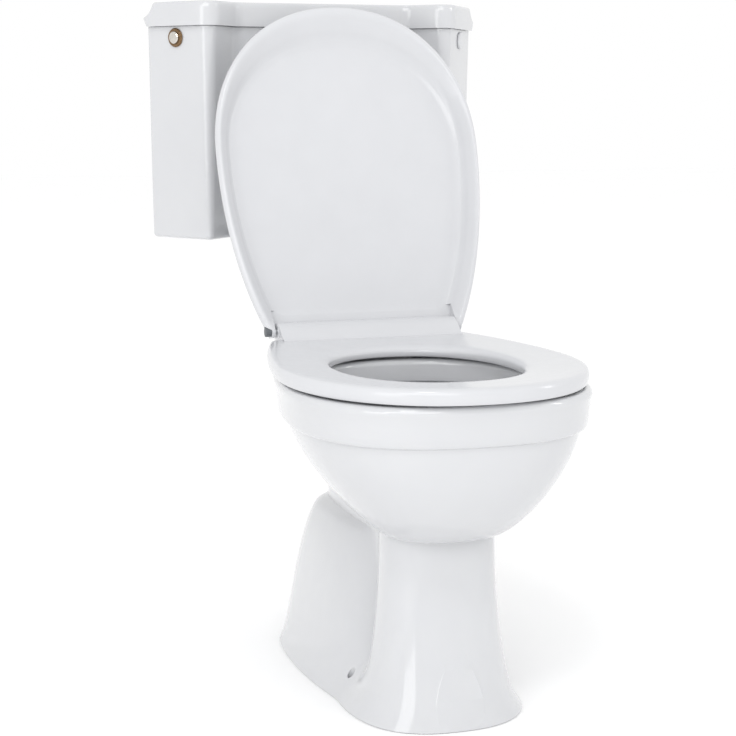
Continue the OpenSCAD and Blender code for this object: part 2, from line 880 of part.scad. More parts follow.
knuckle_bore = rod_r + hinge_clear;
post_w = 17;
post_slot_w = post_w + 1;
lug_gap = 2.8;
lug_in = barrel_half_w + lug_gap;
lug_w = 4.5;
blind_lug_w = 7;

module round_bar(x0, x1, r) {
    translate([x0, -hinge_y, hinge_z])
        rotate([0, 90, 0])
            cylinder(r = r, h = x1 - x0);
}

// Hollow in the seat's barrel in which a hinge post stands, open below and behind
module post_slot(side) {
    x0 = side * hinge_x - post_slot_w / 2;
    round_bar(x0, x0 + post_slot_w, knuckle_r + 0.6);
    translate([x0, -hinge_y - 7.7, hinge_z - 30])
        cube([post_slot_w, 60, 30]);
    translate([x0, -hinge_y, hinge_z - 1])
        cube([post_slot_w, 30, 9.6]);
}

module seat_ring() {
    t = seat_t;
    web_y = -seat_back - 36;
    web_z = seat_z + t * 0.8;
    color(plastic)
        difference() {
            union() {
                loop_skin([
                    for (s = [
                        [0.05, 0], [0, 0.2], [-0.02, 0.5], [0, 0.8], [0.05, 0.97],
                        [0.14, 1.02], [0.3, 0.95], [0.55, 0.82], [0.8, 0.7], [0.93, 0.54],
                        [1, 0.34], [1, 0.2], [0.95, 0.07], [0.6, 0]
                    ])
                        seat_loop(s[0], seat_z + s[1] * t)
                ]);
                round_bar(-barrel_half_w, barrel_half_w, barrel_r);
                translate([-barrel_half_w, 0, 0])
                    rotate([90, 0, 90])
                        linear_extrude(2 * barrel_half_w)
                            polygon(concat(
                                [
                                    [-hinge_y, hinge_z],
                                    [-hinge_y, hinge_z - barrel_r + 0.2],
                                    [-seat_back - 2, seat_z + 2],
                                    [web_y, seat_z + 2]
                                ],
                                [
                                    for (i = [0:8])
                                        let (k = i / 8)
                                            [
                                                web_y + (-hinge_y - 1.5 - web_y) * k,
                                                web_z + (hinge_z + barrel_r - 0.1 - web_z) * k * k * (3 - 2 * k)
                                            ]
                                ]
                            ));
            }
            round_bar(-barrel_half_w - cut, barrel_half_w + cut, knuckle_bore);
            for (side = [-1, 1])
                post_slot(side);
        }
}
seat_ring();

buffer_places = [[112, -374], [-112, -374], [140, -150], [-140, -150]];

module seat_buffers() {
    color(rubber)
        for (p = buffer_places)
            translate([p[0], p[1], rim_z + seat_clear])
                cylinder(r = 9, h = seat_gap - 2 * seat_clear);
}
seat_buffers();

cover_z = seat_z + seat_t + cover_gap;
nose_in = 0.13;

// Ring of the cover at the share s of its outline. The turned-down edge is wider at the nose.
function cover_loop(s, z) =
    let (nose = s * (1 - nose_in * ramp(1 - s, 0.02, 0.12)))
        [
            for (p = cover_outline)
                let (d = p[1] + seat_mid)
                    [p[0] * s, -seat_mid + d * (d < 0 ? nose : s), cover_z + z]
        ];

module cover_pose() {
    translate([0, -hinge_y, hinge_z])
        rotate([-cover_open, 0, 0])
            translate([0, hinge_y, -hinge_z])
                children();
}

// Disc around the rod with a block that joins it to the cover's shell
module cover_lug(x, w) {
    round_bar(x, x + w, knuckle_r);
    translate([x, -hinge_y - 8, hinge_z])
        cube([w, 14, cover_z + cover_edge_h - cover_t + 2 - hinge_z]);
}

module seat_cover() {
    e = cover_edge_h;
    t = cover_t;
    color(plastic)
        cover_pose()
            difference() {
                union() {
                    skin(
                        [
                            cover_loop(0.4, e + 4 - t),
                            cover_loop(0.75, e + 2 - t),
                            cover_loop(0.85, e + 0.4 - t),
                            cover_loop(0.885, e - 2 - t),
                            cover_loop(0.92, e * 0.4),
                            cover_loop(0.945, e * 0.17),
                            cover_loop(0.96, 1.4),
                            cover_loop(0.972, 0),
                            cover_loop(0.985, 0.8),
                            cover_loop(0.996, 3),
                            cover_loop(1, 7),
                            cover_loop(0.995, e * 0.46),
                            cover_loop(0.98, e * 0.7),
                            cover_loop(0.945, e * 0.9),
                            cover_loop(0.89, e + 1.5),
                            cover_loop(0.75, e + 3.5),
                            cover_loop(0.4, e + 6)
                        ],
                        [0, -seat_mid, cover_z + e + 5 - t],
                        [0, -seat_mid, cover_z + e + 7]
                    );
                    cover_lug(-lug_in - lug_w, lug_w);
                    cover_lug(lug_in, blind_lug_w);
                }
                translate([-lug_in, -hinge_y - 30, cover_z - cut])
                    cube([2 * lug_in, 60, hinge_z + barrel_r + 1 - cover_z + cut]);
                round_bar(-lug_in - lug_w - cut, lug_in + blind_lug_w - 3, knuckle_bore);
                round_bar(-lug_in - lug_w - 16, -lug_in - lug_w, rod_cap_r + 0.6);
            }
}
seat_cover();

// ---- Hinge ------------------------------------------------------------------

post_foot_h = 4;
rod_cap_t = 7.5;
rod_cap_r = 6.5;

module hinge_post(side) {
    color(fitting)
        difference() {
            union() {
                translate([side * hinge_x, -hinge_y, rim_z + seat_clear])
                    cylinder(r = 14, h = post_foot_h);
                translate([side * hinge_x - post_w / 2, -hinge_y - 7, rim_z + 1])
                    cube([post_w, 14, hinge_h - 1]);
                round_bar(side * hinge_x - post_w / 2, side * hinge_x + post_w / 2, knuckle_r);
            }
            translate([side * hinge_x - post_w, -hinge_y, hinge_z])
                rotate([0, 90, 0])
                    cylinder(r = knuckle_bore, h = 2 * post_w);
            translate([side * hinge_x, -hinge_y, rim_z - cut])
                cylinder(r = hinge_bolt_r + bolt_clear, h = post_foot_h + 7 + cut);
        }
}

module left_hinge_post() {
    hinge_post(1);
}
left_hinge_post();

module right_hinge_post() {
    hinge_post(-1);
}
right_hinge_post();

cap_x = lug_in + lug_w + seat_clear;

// The rod goes in from the side of the cap and ends in the blind lug
module hinge_rod() {
    color(steel)
        round_bar(-cap_x - 5, lug_in + blind_lug_w - 3.5, rod_r);
}
hinge_rod();

module rod_cap() {
    color(rubber)
        difference() {
            round_bar(-cap_x - rod_cap_t, -cap_x, rod_cap_r);
            round_bar(-cap_x - 5 - seat_clear, -cap_x + cut, rod_r + hinge_clear);
        }
}
rod_cap();

module at_hinge_bolts() {
    for (side = [-1, 1])
        translate([side * hinge_x, -hinge_y, 0])
            children();
}

module hinge_bolts() {
    end_z = hinge_face_z - 24;
    color(steel)
        at_hinge_bolts()
            translate([0, 0, end_z])
                cylinder(r = hinge_bolt_r, h = rim_z + post_foot_h + 7 - seat_clear - end_z);
}
hinge_bolts();

module hinge_washers() {
    color(rubber)
        at_hinge_bolts()
            translate([0, 0, hinge_face_z - seat_clear - washer_t])
                ring_of(hinge_face_r - 1.5, hinge_bolt_r + bolt_clear, washer_t);
}
hinge_washers();

module hinge_wing_nuts() {
    color(plastic)
        at_hinge_bolts()
            translate([0, 0, hinge_face_z - washer_t - 2 * seat_clear])
                wing_nut(hinge_bolt_r + bolt_clear, 7.5, 12.5, 9);
}
hinge_wing_nuts();

// ---- Flush button and blanking plug -----------------------------------------

housing_l = 34;
housing_wall = 2.3;

module button_ring() {
    depth = cistern_wall + housing_l;
    color(steel)
        at_end_face(-1)
            difference() {
                union() {
                    translate([0, 0, seat_clear])
                        rotate_extrude()
                            polygon([
                                [0, 0], [ring_r - 0.6, 0], [ring_r, 0.7], [ring_r, 1.3],
                                [ring_r - 1.2, 2.8], [ring_r - 2.6, 3.2], [0, 3.2]
                            ]);
                    translate([0, 0, -depth])
                        cylinder(r = sleeve_r, h = depth + 1);
                }
                translate([0, 0, 3 - depth])
                    cylinder(r = button_r + seat_clear, h = depth + 3);
                translate([0, 0, -depth - cut])
                    cylinder(r = 2.6, h = 6);
            }
}
button_ring();

module push_button() {
    proud = button_travel + 1.2;
    color(steel)
        at_end_face(-1) {
            translate([0, 0, -20])
                rotate_extrude()
                    polygon([
                        [0, 0], [button_r - 0.8, 0], [button_r, 0.8], [button_r, 19 + proud],
                        [button_r - 1, 20 + proud], [0, 20.6 + proud]
                    ]);
            translate([0, 0, -32])
                cylinder(r = 3, h = 13);
        }
}
push_button();

module button_nut() {
    color(plastic)
        at_end_face(-1)
            translate([0, 0, -cistern_wall - seat_clear - 6])
                ring_of(ring_r + 1, end_hole_r, 6);
}
button_nut();

module blanking_plug() {
    color(plastic)
        at_end_face(1) {
            translate([0, 0, seat_clear])
                rotate_extrude()
                    polygon([
                        [0, 0], [ring_r - 1, 0], [ring_r - 0.5, 0.8], [ring_r - 1.5, 2.4], [0, 3.2]
                    ]);
            translate([0, 0, -cistern_wall - 12])
                cylinder(r = sleeve_r, h = cistern_wall + 13);
        }
}
blanking_plug();

module blanking_plug_nut() {
    color(plastic)
        at_end_face(1)
            translate([0, 0, -cistern_wall - seat_clear - 6])
                ring_of(ring_r + 1, end_hole_r, 6);
}
blanking_plug_nut();

// ---- Flush valve ------------------------------------------------------------

seal_t = 3;
valve_flange_z = floor_z + seal_t + seat_clear;
valve_flange_h = 5;
valve_seat_z = valve_flange_z + valve_flange_h + 2;
valve_bore_r = 25;
guide_r = 16.3;
tower_z = valve_flange_z + 88;
tower_top = valve_flange_z + 214;
piston_top = tower_z + 96;

module flush_valve_body() {
    color(fitting)
        translate([0, flush_y, 0])
            difference() {
                union() {
                    translate([0, 0, platform_z - recess_h + 6])
                        cylinder(r = tail_r, h = valve_flange_z - platform_z + recess_h - 6 + 1);
                    translate([0, 0, valve_flange_z])
                        cylinder(r = 44, h = valve_flange_h);
                    translate([0, 0, valve_flange_z])
                        cylinder(r = 31, h = valve_flange_h + 2);
                    for (a = [30, 150, 270])
                        rotate([0, 0, a])
                            translate([37, -4, valve_flange_z + 1])
                                cube([6, 8, tower_z - valve_flange_z]);
                    translate([0, 0, tower_z])
                        cylinder(r = 43, h = 6);
                    translate([0, 0, tower_z])
                        cylinder(r = guide_r + 6, h = tower_top - tower_z);
                }
                translate([0, 0, platform_z - recess_h])
                    cylinder(r = valve_bore_r, h = valve_flange_z - platform_z + recess_h + 30);
                translate([0, 0, tower_z - cut])
                    cylinder(r = guide_r, h = tower_top - tower_z - 8 + cut);
                for (a = [0, 60, 120])
                    rotate([0, 0, a])
                        translate([-30, -4, piston_top + 22])
                            cube([60, 8, 46]);
            }
}
flush_valve_body();

module flush_valve_washer() {
    color(rubber)
        translate([0, flush_y, floor_z + seat_clear])
            ring_of(43, tail_r + seat_clear, seal_t - seat_clear);
}
flush_valve_washer();

module flush_valve_nut() {
    color(plastic)
        translate([0, flush_y, cistern_z - seat_clear - flush_nut_h])
            ring_of(flush_nut_r, tail_r + seat_clear, flush_nut_h);
}
flush_valve_nut();

module flush_seal() {
    color(rubber)
        translate([0, flush_y, valve_seat_z + seat_clear])
            ring_of(33, guide_r, seal_t);
}
flush_seal();

module flush_piston() {
    tube_r = guide_r - seat_clear;
    collar_z = valve_seat_z - 5;
    color(fitting)
        translate([0, flush_y, 0])
            difference() {
                union() {
                    translate([0, 0, collar_z])
                        cylinder(r = tube_r, h = piston_top - collar_z);
                    translate([0, 0, collar_z])
                        cylinder(r = 20, h = 5);
                    translate([0, 0, valve_seat_z + seal_t + 2 * seat_clear])
                        cylinder(r = 34, h = 4);
                }
                translate([0, 0, collar_z - cut])
                    cylinder(r = 13, h = piston_top - collar_z + 2 * cut);
            }
}
flush_piston();

// Flexible tube from the button's housing to the top of the flush valve
function bezier(p, t) =
    pow(1 - t, 3) * p[0] + 3 * pow(1 - t, 2) * t * p[1] + 3 * (1 - t) * t * t * p[2] + pow(t, 3) * p[3];

module flush_cable() {
    reach = cistern_wall + housing_l + seat_clear + draught(button_z);
    inward_dir = [end_normal[0] * cos(end_tilt), -end_normal[1] * cos(end_tilt), sin(end_tilt)];
    start = [-button_x, button_y, button_z] + inward_dir * reach;
    finish = [0, flush_y, tower_top + seat_clear];
    way = [start, start + inward_dir * 70, finish + [0, 0, 60], finish];
    steps = 24;
    tube_r = 2.5;
    color(plastic)
        skin(
            [for (i = [0:steps])
                let (
                    t = i / steps,
                    p = bezier(way, t),
                    dir = unit(bezier(way, min(1, t + 0.01)) - bezier(way, max(0, t - 0.01))),
                    n = unit(cross([-inward_dir[1], inward_dir[0], 0], dir)),
                    b = cross(dir, n)
                )
                    [for (k = [0:9]) p + tube_r * (cos(36 * k) * n + sin(36 * k) * b)]],
            start,
            finish
        );
}
flush_cable();

// ---- Fill valve -------------------------------------------------------------

fill_seal_t = 3;
fill_flange_z = floor_z + fill_seal_t + seat_clear;
fill_stem_r = 9;
float_r = 20;
float_h = 52;
float_z = floor_z + 90;
float_travel = 70;
fill_top = float_z + float_h + float_travel + 6;

module fill_valve() {
    color(fitting)
        translate([fill_x, fill_y, 0]) {
            translate([0, 0, cistern_z - 40])
                cylinder(r = fill_tail_r, h = 30);
            translate([0, 0, cistern_z - 11])
                cylinder(r = fill_shank_r, h = fill_flange_z - cistern_z + 12);
            translate([0, 0, fill_flange_z])
                cylinder(r = 18, h = 5);
            translate([0, 0, fill_flange_z])
                cylinder(r = fill_stem_r, h = fill_top - fill_flange_z + 1);
            translate([0, 0, float_z - seat_clear - 5])
                cylinder(r = 13, h = 5);
            translate([0, 0, fill_top])
                cylinder(r = 17, h = 18);
            translate([0, 0, fill_top + 18])
                cylinder(r1 = 17, r2 = 11, h = 6);
        }
}
fill_valve();

module fill_valve_washer() {
    color(rubber)
        translate([fill_x, fill_y, floor_z + seat_clear])
            ring_of(17, fill_shank_r + seat_clear, fill_seal_t - seat_clear);
}
fill_valve_washer();

module fill_valve_nut() {
    color(plastic)
        translate([fill_x, fill_y, cistern_z - seat_clear - 10])
            ring_of(17, fill_shank_r + seat_clear, 10);
}
fill_valve_nut();

module fill_valve_float() {
    color(fitting)
        translate([fill_x, fill_y, float_z])
            ring_of(float_r, fill_stem_r + seat_clear, float_h);
}
fill_valve_float();
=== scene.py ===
import json
import math

import bmesh
import bpy
import numpy as np
from mathutils import Matrix, Vector


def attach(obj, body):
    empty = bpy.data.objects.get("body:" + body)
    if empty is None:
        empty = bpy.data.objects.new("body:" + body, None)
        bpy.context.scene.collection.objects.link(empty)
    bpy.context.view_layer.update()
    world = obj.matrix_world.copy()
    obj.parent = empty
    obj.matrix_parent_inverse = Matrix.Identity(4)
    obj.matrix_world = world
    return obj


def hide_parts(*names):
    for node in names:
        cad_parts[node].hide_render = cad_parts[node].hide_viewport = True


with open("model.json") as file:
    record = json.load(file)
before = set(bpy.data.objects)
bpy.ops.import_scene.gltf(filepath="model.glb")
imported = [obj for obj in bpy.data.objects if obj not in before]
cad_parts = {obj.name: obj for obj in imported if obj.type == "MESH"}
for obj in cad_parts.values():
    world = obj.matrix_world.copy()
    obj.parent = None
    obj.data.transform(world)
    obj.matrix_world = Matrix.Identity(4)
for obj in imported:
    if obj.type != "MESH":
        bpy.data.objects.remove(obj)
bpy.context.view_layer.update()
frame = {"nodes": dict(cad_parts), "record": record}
print("frame loaded")

# Lengths are in millimetres until a mesh, a place or a node takes them in metres.

# The photograph's viewing angle, with its turns in degrees
camera = {"at": (-678.7, -2139.1, 732.2), "yaw": 17.667, "pitch": 9.054, "lens": 82.70, "sensor": 36}


def placeCamera():
    yaw, pitch = math.radians(camera["yaw"]), math.radians(camera["pitch"])
    ahead = Vector((math.sin(yaw) * math.cos(pitch), math.cos(yaw) * math.cos(pitch), -math.sin(pitch)))
    data = bpy.data.cameras.new("studioCamera")
    data.lens = camera["lens"]
    data.sensor_width = camera["sensor"]
    data.clip_end = 50
    eye = bpy.data.objects.new("studioCamera", data)
    bpy.context.scene.collection.objects.link(eye)
    eye.location = Vector(camera["at"]) / 1000
    eye.rotation_euler = ahead.to_track_quat("-Z", "Y").to_euler()
    bpy.context.scene.camera = eye


placeCamera()


def linear(hexColour):
    parts = [int(hexColour[i:i + 2], 16) / 255 for i in (1, 3, 5)]
    return tuple(c / 12.92 if c <= 0.04045 else ((c + 0.055) / 1.055) ** 2.4 for c in parts) + (1.0,)


def addNode(tree, kind, settings=None, inputs=None, links=None):
    node = tree.nodes.new(kind)
    for key, value in (settings or {}).items():
        setattr(node, key, value)
    for key, value in (inputs or {}).items():
        node.inputs[key].default_value = value
    for key, source in (links or {}).items():
        tree.links.new(source, node.inputs[key])
    return node


def ramp(v, low, high):
    return min(1.0, max(0.0, (v - low) / (high - low)))


def blend(start, end, share):
    return start + (end - start) * share


def bulge(t, p, q):
    # Rises from 0 to 1, fast at first and level at the end
    return (1 - (1 - t) ** p) ** (1 / q)


def squared(v, power):
    # Turns a circle's cosines or sines into those of a squarer oval
    return np.sign(v) * np.abs(v) ** (2 / power)


def mirrored(side):
    # Closes a half outline that runs from the nose round the +X side to the back
    left = side[-2:0:-1] * np.array([-1, 1, 1])
    whole = np.concatenate([side, left])
    whole[0, 0] = whole[len(side) - 1, 0] = 0
    return whole


def makeMesh(name, rings, startCap=None, endCap=None, loop=False):
    # Rings of equal length, anticlockwise seen from above, joined into a closed skin
    count = len(rings[0])
    points = np.concatenate(rings)
    faces = []
    for k in range(len(rings) if loop else len(rings) - 1):
        low, high = k * count, (k + 1) % len(rings) * count
        for i in range(count):
            j = (i + 1) % count
            faces.append((low + i, low + j, high + j, high + i))
    if not loop:
        points = np.concatenate([points, [startCap, endCap]])
        first, last = len(rings) * count, (len(rings) - 1) * count
        for i in range(count):
            j = (i + 1) % count
            faces.append((first, j, i))
            faces.append((first + 1, last + i, last + j))
    mesh = bpy.data.meshes.new(name)
    mesh.from_pydata((points / 1000).tolist(), [], faces)
    piece = bpy.data.objects.new(name, mesh)
    bpy.context.scene.collection.objects.link(piece)
    return piece


def lathe(profile, steps, place):
    # Turns (radius, height) points from the bottom axis point to the top one
    rings = []
    for r, z in profile[1:-1]:
        a = np.arange(steps) * 2 * math.pi / steps
        rings.append(np.stack([r * np.cos(a), r * np.sin(a), np.full(steps, z)], 1))
    piece = makeMesh("cutter", rings, (0, 0, profile[0][1]), (0, 0, profile[-1][1]))
    piece.data.transform(place)
    return piece


def move(x, y, z):
    return Matrix.Translation(Vector((x, y, z)) / 1000)


def turn(degrees, axis):
    return Matrix.Rotation(math.radians(degrees), 4, axis)


def rod(radius, low, high, place, steps=64):
    return lathe([(0, low), (radius, low), (radius, high), (0, high)], steps, place)


def block(low, high, place=None):
    (x0, y0, z0), (x1, y1, z1) = low, high
    rings = [np.array([(x0, y0, z), (x1, y0, z), (x1, y1, z), (x0, y1, z)], float) for z in (z0, z1)]
    middle = ((x0 + x1) / 2, (y0 + y1) / 2)
    piece = makeMesh("cutter", rings, (*middle, z0), (*middle, z1))
    if place is not None:
        piece.data.transform(place)
    return piece


def merge(piece, others, operation):
    # One boolean with all the others, applied at once
    for other in others:
        step = piece.modifiers.new("merge", "BOOLEAN")
        step.operation = operation
        step.solver = "MANIFOLD"
        step.object = other
    settle(piece)
    for other in others:
        bpy.data.objects.remove(other)


def settle(piece):
    # Turns the piece with its live modifiers into a plain mesh
    bpy.context.view_layer.update()
    plain = bpy.data.meshes.new_from_object(piece.evaluated_get(bpy.context.evaluated_depsgraph_get()))
    piece.modifiers.clear()
    piece.data = plain


def turnOutwards(piece):
    mesh = bmesh.new()
    mesh.from_mesh(piece.data)
    bmesh.ops.recalc_face_normals(mesh, faces=mesh.faces)
    mesh.to_mesh(piece.data)
    mesh.free()
    return piece


def smooth(piece, degrees):
    # Shades faces as one surface where they meet at less than this angle
    mesh = bmesh.new()
    mesh.from_mesh(piece.data)
    bmesh.ops.remove_doubles(mesh, verts=mesh.verts, dist=1e-6)
    limit = math.radians(degrees)
    for face in mesh.faces:
        face.smooth = True
    for edge in mesh.edges:
        edge.smooth = edge.calc_face_angle(0) < limit
    mesh.to_mesh(piece.data)
    mesh.free()


def spline(points, steps, loop=False):
    # Catmull-Rom curve through rows of numbers
    rows = np.array(points, float)
    n = len(rows)
    out = []
    for i in range(n if loop else n - 1):
        a, b, c, d = (rows[k % n] if loop else rows[min(max(k, 0), n - 1)] for k in (i - 1, i, i + 1, i + 2))
        for s in range(steps):
            t = s / steps
            out.append(0.5 * (2 * b + (c - a) * t + (2 * a - 5 * b + 4 * c - d) * t * t
                              + (3 * b - a - 3 * c + d) * t ** 3))
    if not loop:
        out.append(rows[-1])
    return out


def finishPiece(piece, material, body, slot, *nodes):
    piece.data.materials.clear()
    piece.data.materials.append(material)
    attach(piece, body)
    if nodes:
        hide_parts(*nodes)


def newMaterial(name):
    material = bpy.data.materials.new(name)
    material.use_nodes = True
    tree = material.node_tree
    tree.nodes.clear()
    out = addNode(tree, "ShaderNodeOutputMaterial")
    shader = addNode(tree, "ShaderNodeBsdfPrincipled")
    tree.links.new(shader.outputs[0], out.inputs[0])
    return material, tree, shader


def setShader(shader, **values):
    for key, value in values.items():
        shader.inputs[key.replace("_", " ")].default_value = value


def patches(millimetres, detail=2.0):
    # Object coordinates are in metres, so this scale gives patches of that size
    return {"Scale": 1000 / millimetres, "Detail": detail}


def mottled(tree, shader, colours, millimetres):
    place = addNode(tree, "ShaderNodeTexCoord").outputs["Object"]
    noise = addNode(tree, "ShaderNodeTexNoise", inputs=patches(millimetres, 3.0), links={"Vector": place})
    # On a colour mix the two colours are inputs 6 and 7, and the result is output 2
    ends = {6: linear(colours[0]), 7: linear(colours[1])}
    mix = addNode(tree, "ShaderNodeMix", {"data_type": "RGBA"}, ends, {0: noise.outputs["Fac"]})
    tree.links.new(mix.outputs[2], shader.inputs["Base Color"])
    return place


def bumped(tree, shader, place, millimetres, height):
    noise = addNode(tree, "ShaderNodeTexNoise", inputs=patches(millimetres), links={"Vector": place})
    relief = {"Distance": height / 1000, "Strength": 1.0}
    bump = addNode(tree, "ShaderNodeBump", inputs=relief, links={"Height": noise.outputs["Fac"]})
    tree.links.new(bump.outputs[0], shader.inputs["Normal"])


def roughened(tree, shader, place, millimetres, low, high):
    noise = addNode(tree, "ShaderNodeTexNoise", inputs=patches(millimetres), links={"Vector": place})
    limits = {"To Min": low, "To Max": high}
    spread = addNode(tree, "ShaderNodeMapRange", inputs=limits, links={"Value": noise.outputs["Fac"]})
    tree.links.new(spread.outputs[0], shader.inputs["Roughness"])


def vitreousGlaze():
    # Glazed vitreous china: a clear glassy coat over a white body, so highlights are sharp and waver a little
    material, tree, shader = newMaterial("glazedVitreousChina")
    place = mottled(tree, shader, ("#C6C7CA", "#CBCCCE"), 60)
    setShader(shader, IOR=1.52, Coat_Weight=0.6, Coat_Roughness=0.03, Coat_IOR=1.55,
              Subsurface_Weight=0.06, Subsurface_Radius=(0.004, 0.004, 0.005), Subsurface_Scale=1.0)
    roughened(tree, shader, place, 14, 0.10, 0.16)
    bumped(tree, shader, place, 22, 0.05)
    return material


def thermosetPlastic():
    # Pressed urea moulding: hard and glossy like the china, a shade brighter, with a softer reflection
    material, tree, shader = newMaterial("glossyThermosetPlastic")
    place = mottled(tree, shader, ("#C8C9CC", "#CDCED1"), 45)
    setShader(shader, IOR=1.5, Coat_Weight=0.25, Coat_Roughness=0.06)
    roughened(tree, shader, place, 10, 0.16, 0.24)
    bumped(tree, shader, place, 9, 0.012)
    return material


def nylon():
    # Injection-moulded nylon: off-white, satin, with a fine spark-eroded grain
    material, tree, shader = newMaterial("mouldedNylon")
    place = mottled(tree, shader, ("#D9DAD8", "#E0E0DE"), 12)
    setShader(shader, IOR=1.53)
    roughened(tree, shader, place, 3, 0.38, 0.5)
    bumped(tree, shader, place, 0.8, 0.01)
    return material


def mouldedRubber(name, colours):
    # Moulded rubber: dull and dark, with a faint bloom in patches
    material, tree, shader = newMaterial(name)
    place = mottled(tree, shader, colours, 8)
    setShader(shader, IOR=1.52, Sheen_Weight=0.05)
    roughened(tree, shader, place, 4, 0.55, 0.75)
    bumped(tree, shader, place, 1.2, 0.03)
    return material


def zincPlatedSteel():
    # Zinc-plated steel: grey and a little cloudy, with a fine matt grain
    material, tree, shader = newMaterial("zincPlatedSteel")
    place = mottled(tree, shader, ("#9A9C9E", "#B4B6B8"), 6)
    setShader(shader, Metallic=1.0)
    roughened(tree, shader, place, 2, 0.28, 0.42)
    bumped(tree, shader, place, 0.6, 0.01)
    return material


def platedBrass(name, colours, low, high):
    # Plated brass: a mirror with faint wiping marks, bright on the button, browner and duller on its ring
    material, tree, shader = newMaterial(name)
    place = mottled(tree, shader, colours, 5)
    setShader(shader, Metallic=1.0)
    roughened(tree, shader, place, 3, low, high)
    return material


glaze = vitreousGlaze()
seatPlastic = thermosetPlastic()
whiteNylon = nylon()
greyRubber = mouldedRubber("greyMouldedRubber", ("#56595D", "#686C70"))
blackRubber = mouldedRubber("blackMouldedRubber", ("#17181A", "#222325"))
steel = zincPlatedSteel()
chrome = platedBrass("chromePlatedBrass", ("#C9C4BC", "#E2DED8"), 0.06, 0.12)
bronzed = platedBrass("darkPlatedBrass", ("#6E5842", "#8E7458"), 0.14, 0.22)
print("materials made")

# The pan's sizes, as the CAD has them. Fronts and middles lie at -Y of the outlet's axis, and so do the
# backs of the mouth and the column; the other backs lie at +Y.
panSizes = {
    # Rim, band and mouth
    "rimZ": 400, "rimFront": 446, "rimMid": 262, "rimHalfW": 181, "deckBack": 118, "rimPower": 2.46,
    "deckPower": 1.7, "bandH": 48, "bandTaper": 5, "bandStep": 9, "mouthHalfW": 126, "mouthFront": 386,
    "mouthMid": 245, "mouthBack": 100, "lipH": 30, "lipBend": 6, "undercut": 28, "bowlPower": 2.36,
    # Waist and column, and how fast they swell towards the rim and the foot
    "waistZ": 221, "waistHalfW": 68.5, "waistFront": 334, "columnMid": 285, "columnBack": 211,
    "columnPower": 2.36, "sideSwell": (1.5, 1.11), "frontSwell": (1.9, 2.1), "deckSwell": 2.5,
    "bowlSwell": 1.5, "columnFootHalfW": 92.5, "sideSplay": 2.25, "frontSplay": 1.46,
    # Foot and the housing of the trap
    "footFront": 374, "footMid": 150, "footBack": 104, "footHalfW": 113.5, "footPower": 2.6, "footWall": 14,
    "footRecessH": 42, "flangeH": 111, "flangeMid": 135, "flangeSplay": 1.2, "trapHalfW": 113,
    "trapFront": 190, "trapFrontRun": 60, "trapMid": 20, "shoulderHalfW": 82, "shoulderZ": 197,
    "shoulderPower": 4.1, "neckHalfW": 50, "neckFront": 310, "neckMid": 150, "neckBack": 62,
    "deckRootBack": 110, "deckRootZ": 300, "valleyY": -212, "meltPower": 6,
    # Waterways
    "sumpY": 255, "sumpR": 36, "sumpZ": 152, "trapR": 28, "dipBendR": 50, "bendZ": 137, "outletR": 40,
    "outletH": 60, "spigotR": 51, "flushY": 285, "inletR": 24, "recessR": 50, "recessH": 26, "dropZ": 480,
    "ductR": 18, "ductZ": 350, "kneeY": 70,
    # Platform under the cistern, from its foot up to its top
    "platformFootZ": 262, "platformFootFront": 22, "platformFootMid": 45, "platformFootBack": 70,
    "platformFootHalfW": 38, "platformRimFront": 72, "platformHalfW": 92, "platformFront": 176,
    "platformBack": 366, "platformZ": 533, "platformPower": 3.2, "platformSwell": (1.3, 1.3),
    "swellH": 40, "frontLean": 0.8, "backLean": 1.2, "uprightH": 28,
    # Holes, and the thickness that the bolts clamp
    "boltX": 64, "boltY": 316, "boltHoleR": 6, "hingeX": 77.5, "hingeHoleR": 7, "nutFaceR": 15, "clampT": 28,
    "floorHoleX": 86, "floorHoleY": 210, "floorHoleR": 5, "floorHoleH": 42,
}


def lobeWidth(y, s):
    # Half width at y of an oval whose front and back halves each have their own power
    half, front, mid, back, frontPower, backPower = s
    if y <= front or y >= back:
        return 0.0
    u, power = ((mid - y) / (mid - front), frontPower) if y < mid else ((y - mid) / (back - mid), backPower)
    return half * (1 - u ** power) ** (1 / power)


def columnLobe(z, onBand=False):
    p = panSizes
    bandZ = p["rimZ"] - p["bandH"]
    if onBand:
        taper = p["bandTaper"] * (1 - (z - bandZ) / p["bandH"])
        return (p["rimHalfW"] - taper, -p["rimFront"] + taper, -p["rimMid"], p["deckBack"] - 2 * taper,
                p["rimPower"], p["deckPower"])
    if z >= p["waistZ"]:
        t = ramp(z, p["waistZ"], bandZ)
        s = bulge(t, *p["sideSwell"])
        halfW = p["rimHalfW"] - p["bandTaper"] - p["bandStep"]
        front = p["rimFront"] - p["bandTaper"] - p["bandStep"] / 2
        back = p["deckBack"] - 2 * p["bandTaper"] - p["bandStep"]
        return (blend(p["waistHalfW"], halfW, s),
                -blend(p["waistFront"], front, bulge(t, *p["frontSwell"])),
                -blend(p["columnMid"], p["rimMid"], s),
                blend(-p["columnBack"], back, s ** p["deckSwell"]),
                blend(p["columnPower"], p["rimPower"], s),
                blend(p["columnPower"], p["deckPower"], s))
    u = 1 - z / p["waistZ"]
    return (blend(p["waistHalfW"], p["columnFootHalfW"], u ** p["sideSplay"]),
            -blend(p["waistFront"], p["footFront"], u ** p["frontSplay"]),
            -p["columnMid"], -p["columnBack"], p["columnPower"], p["columnPower"])


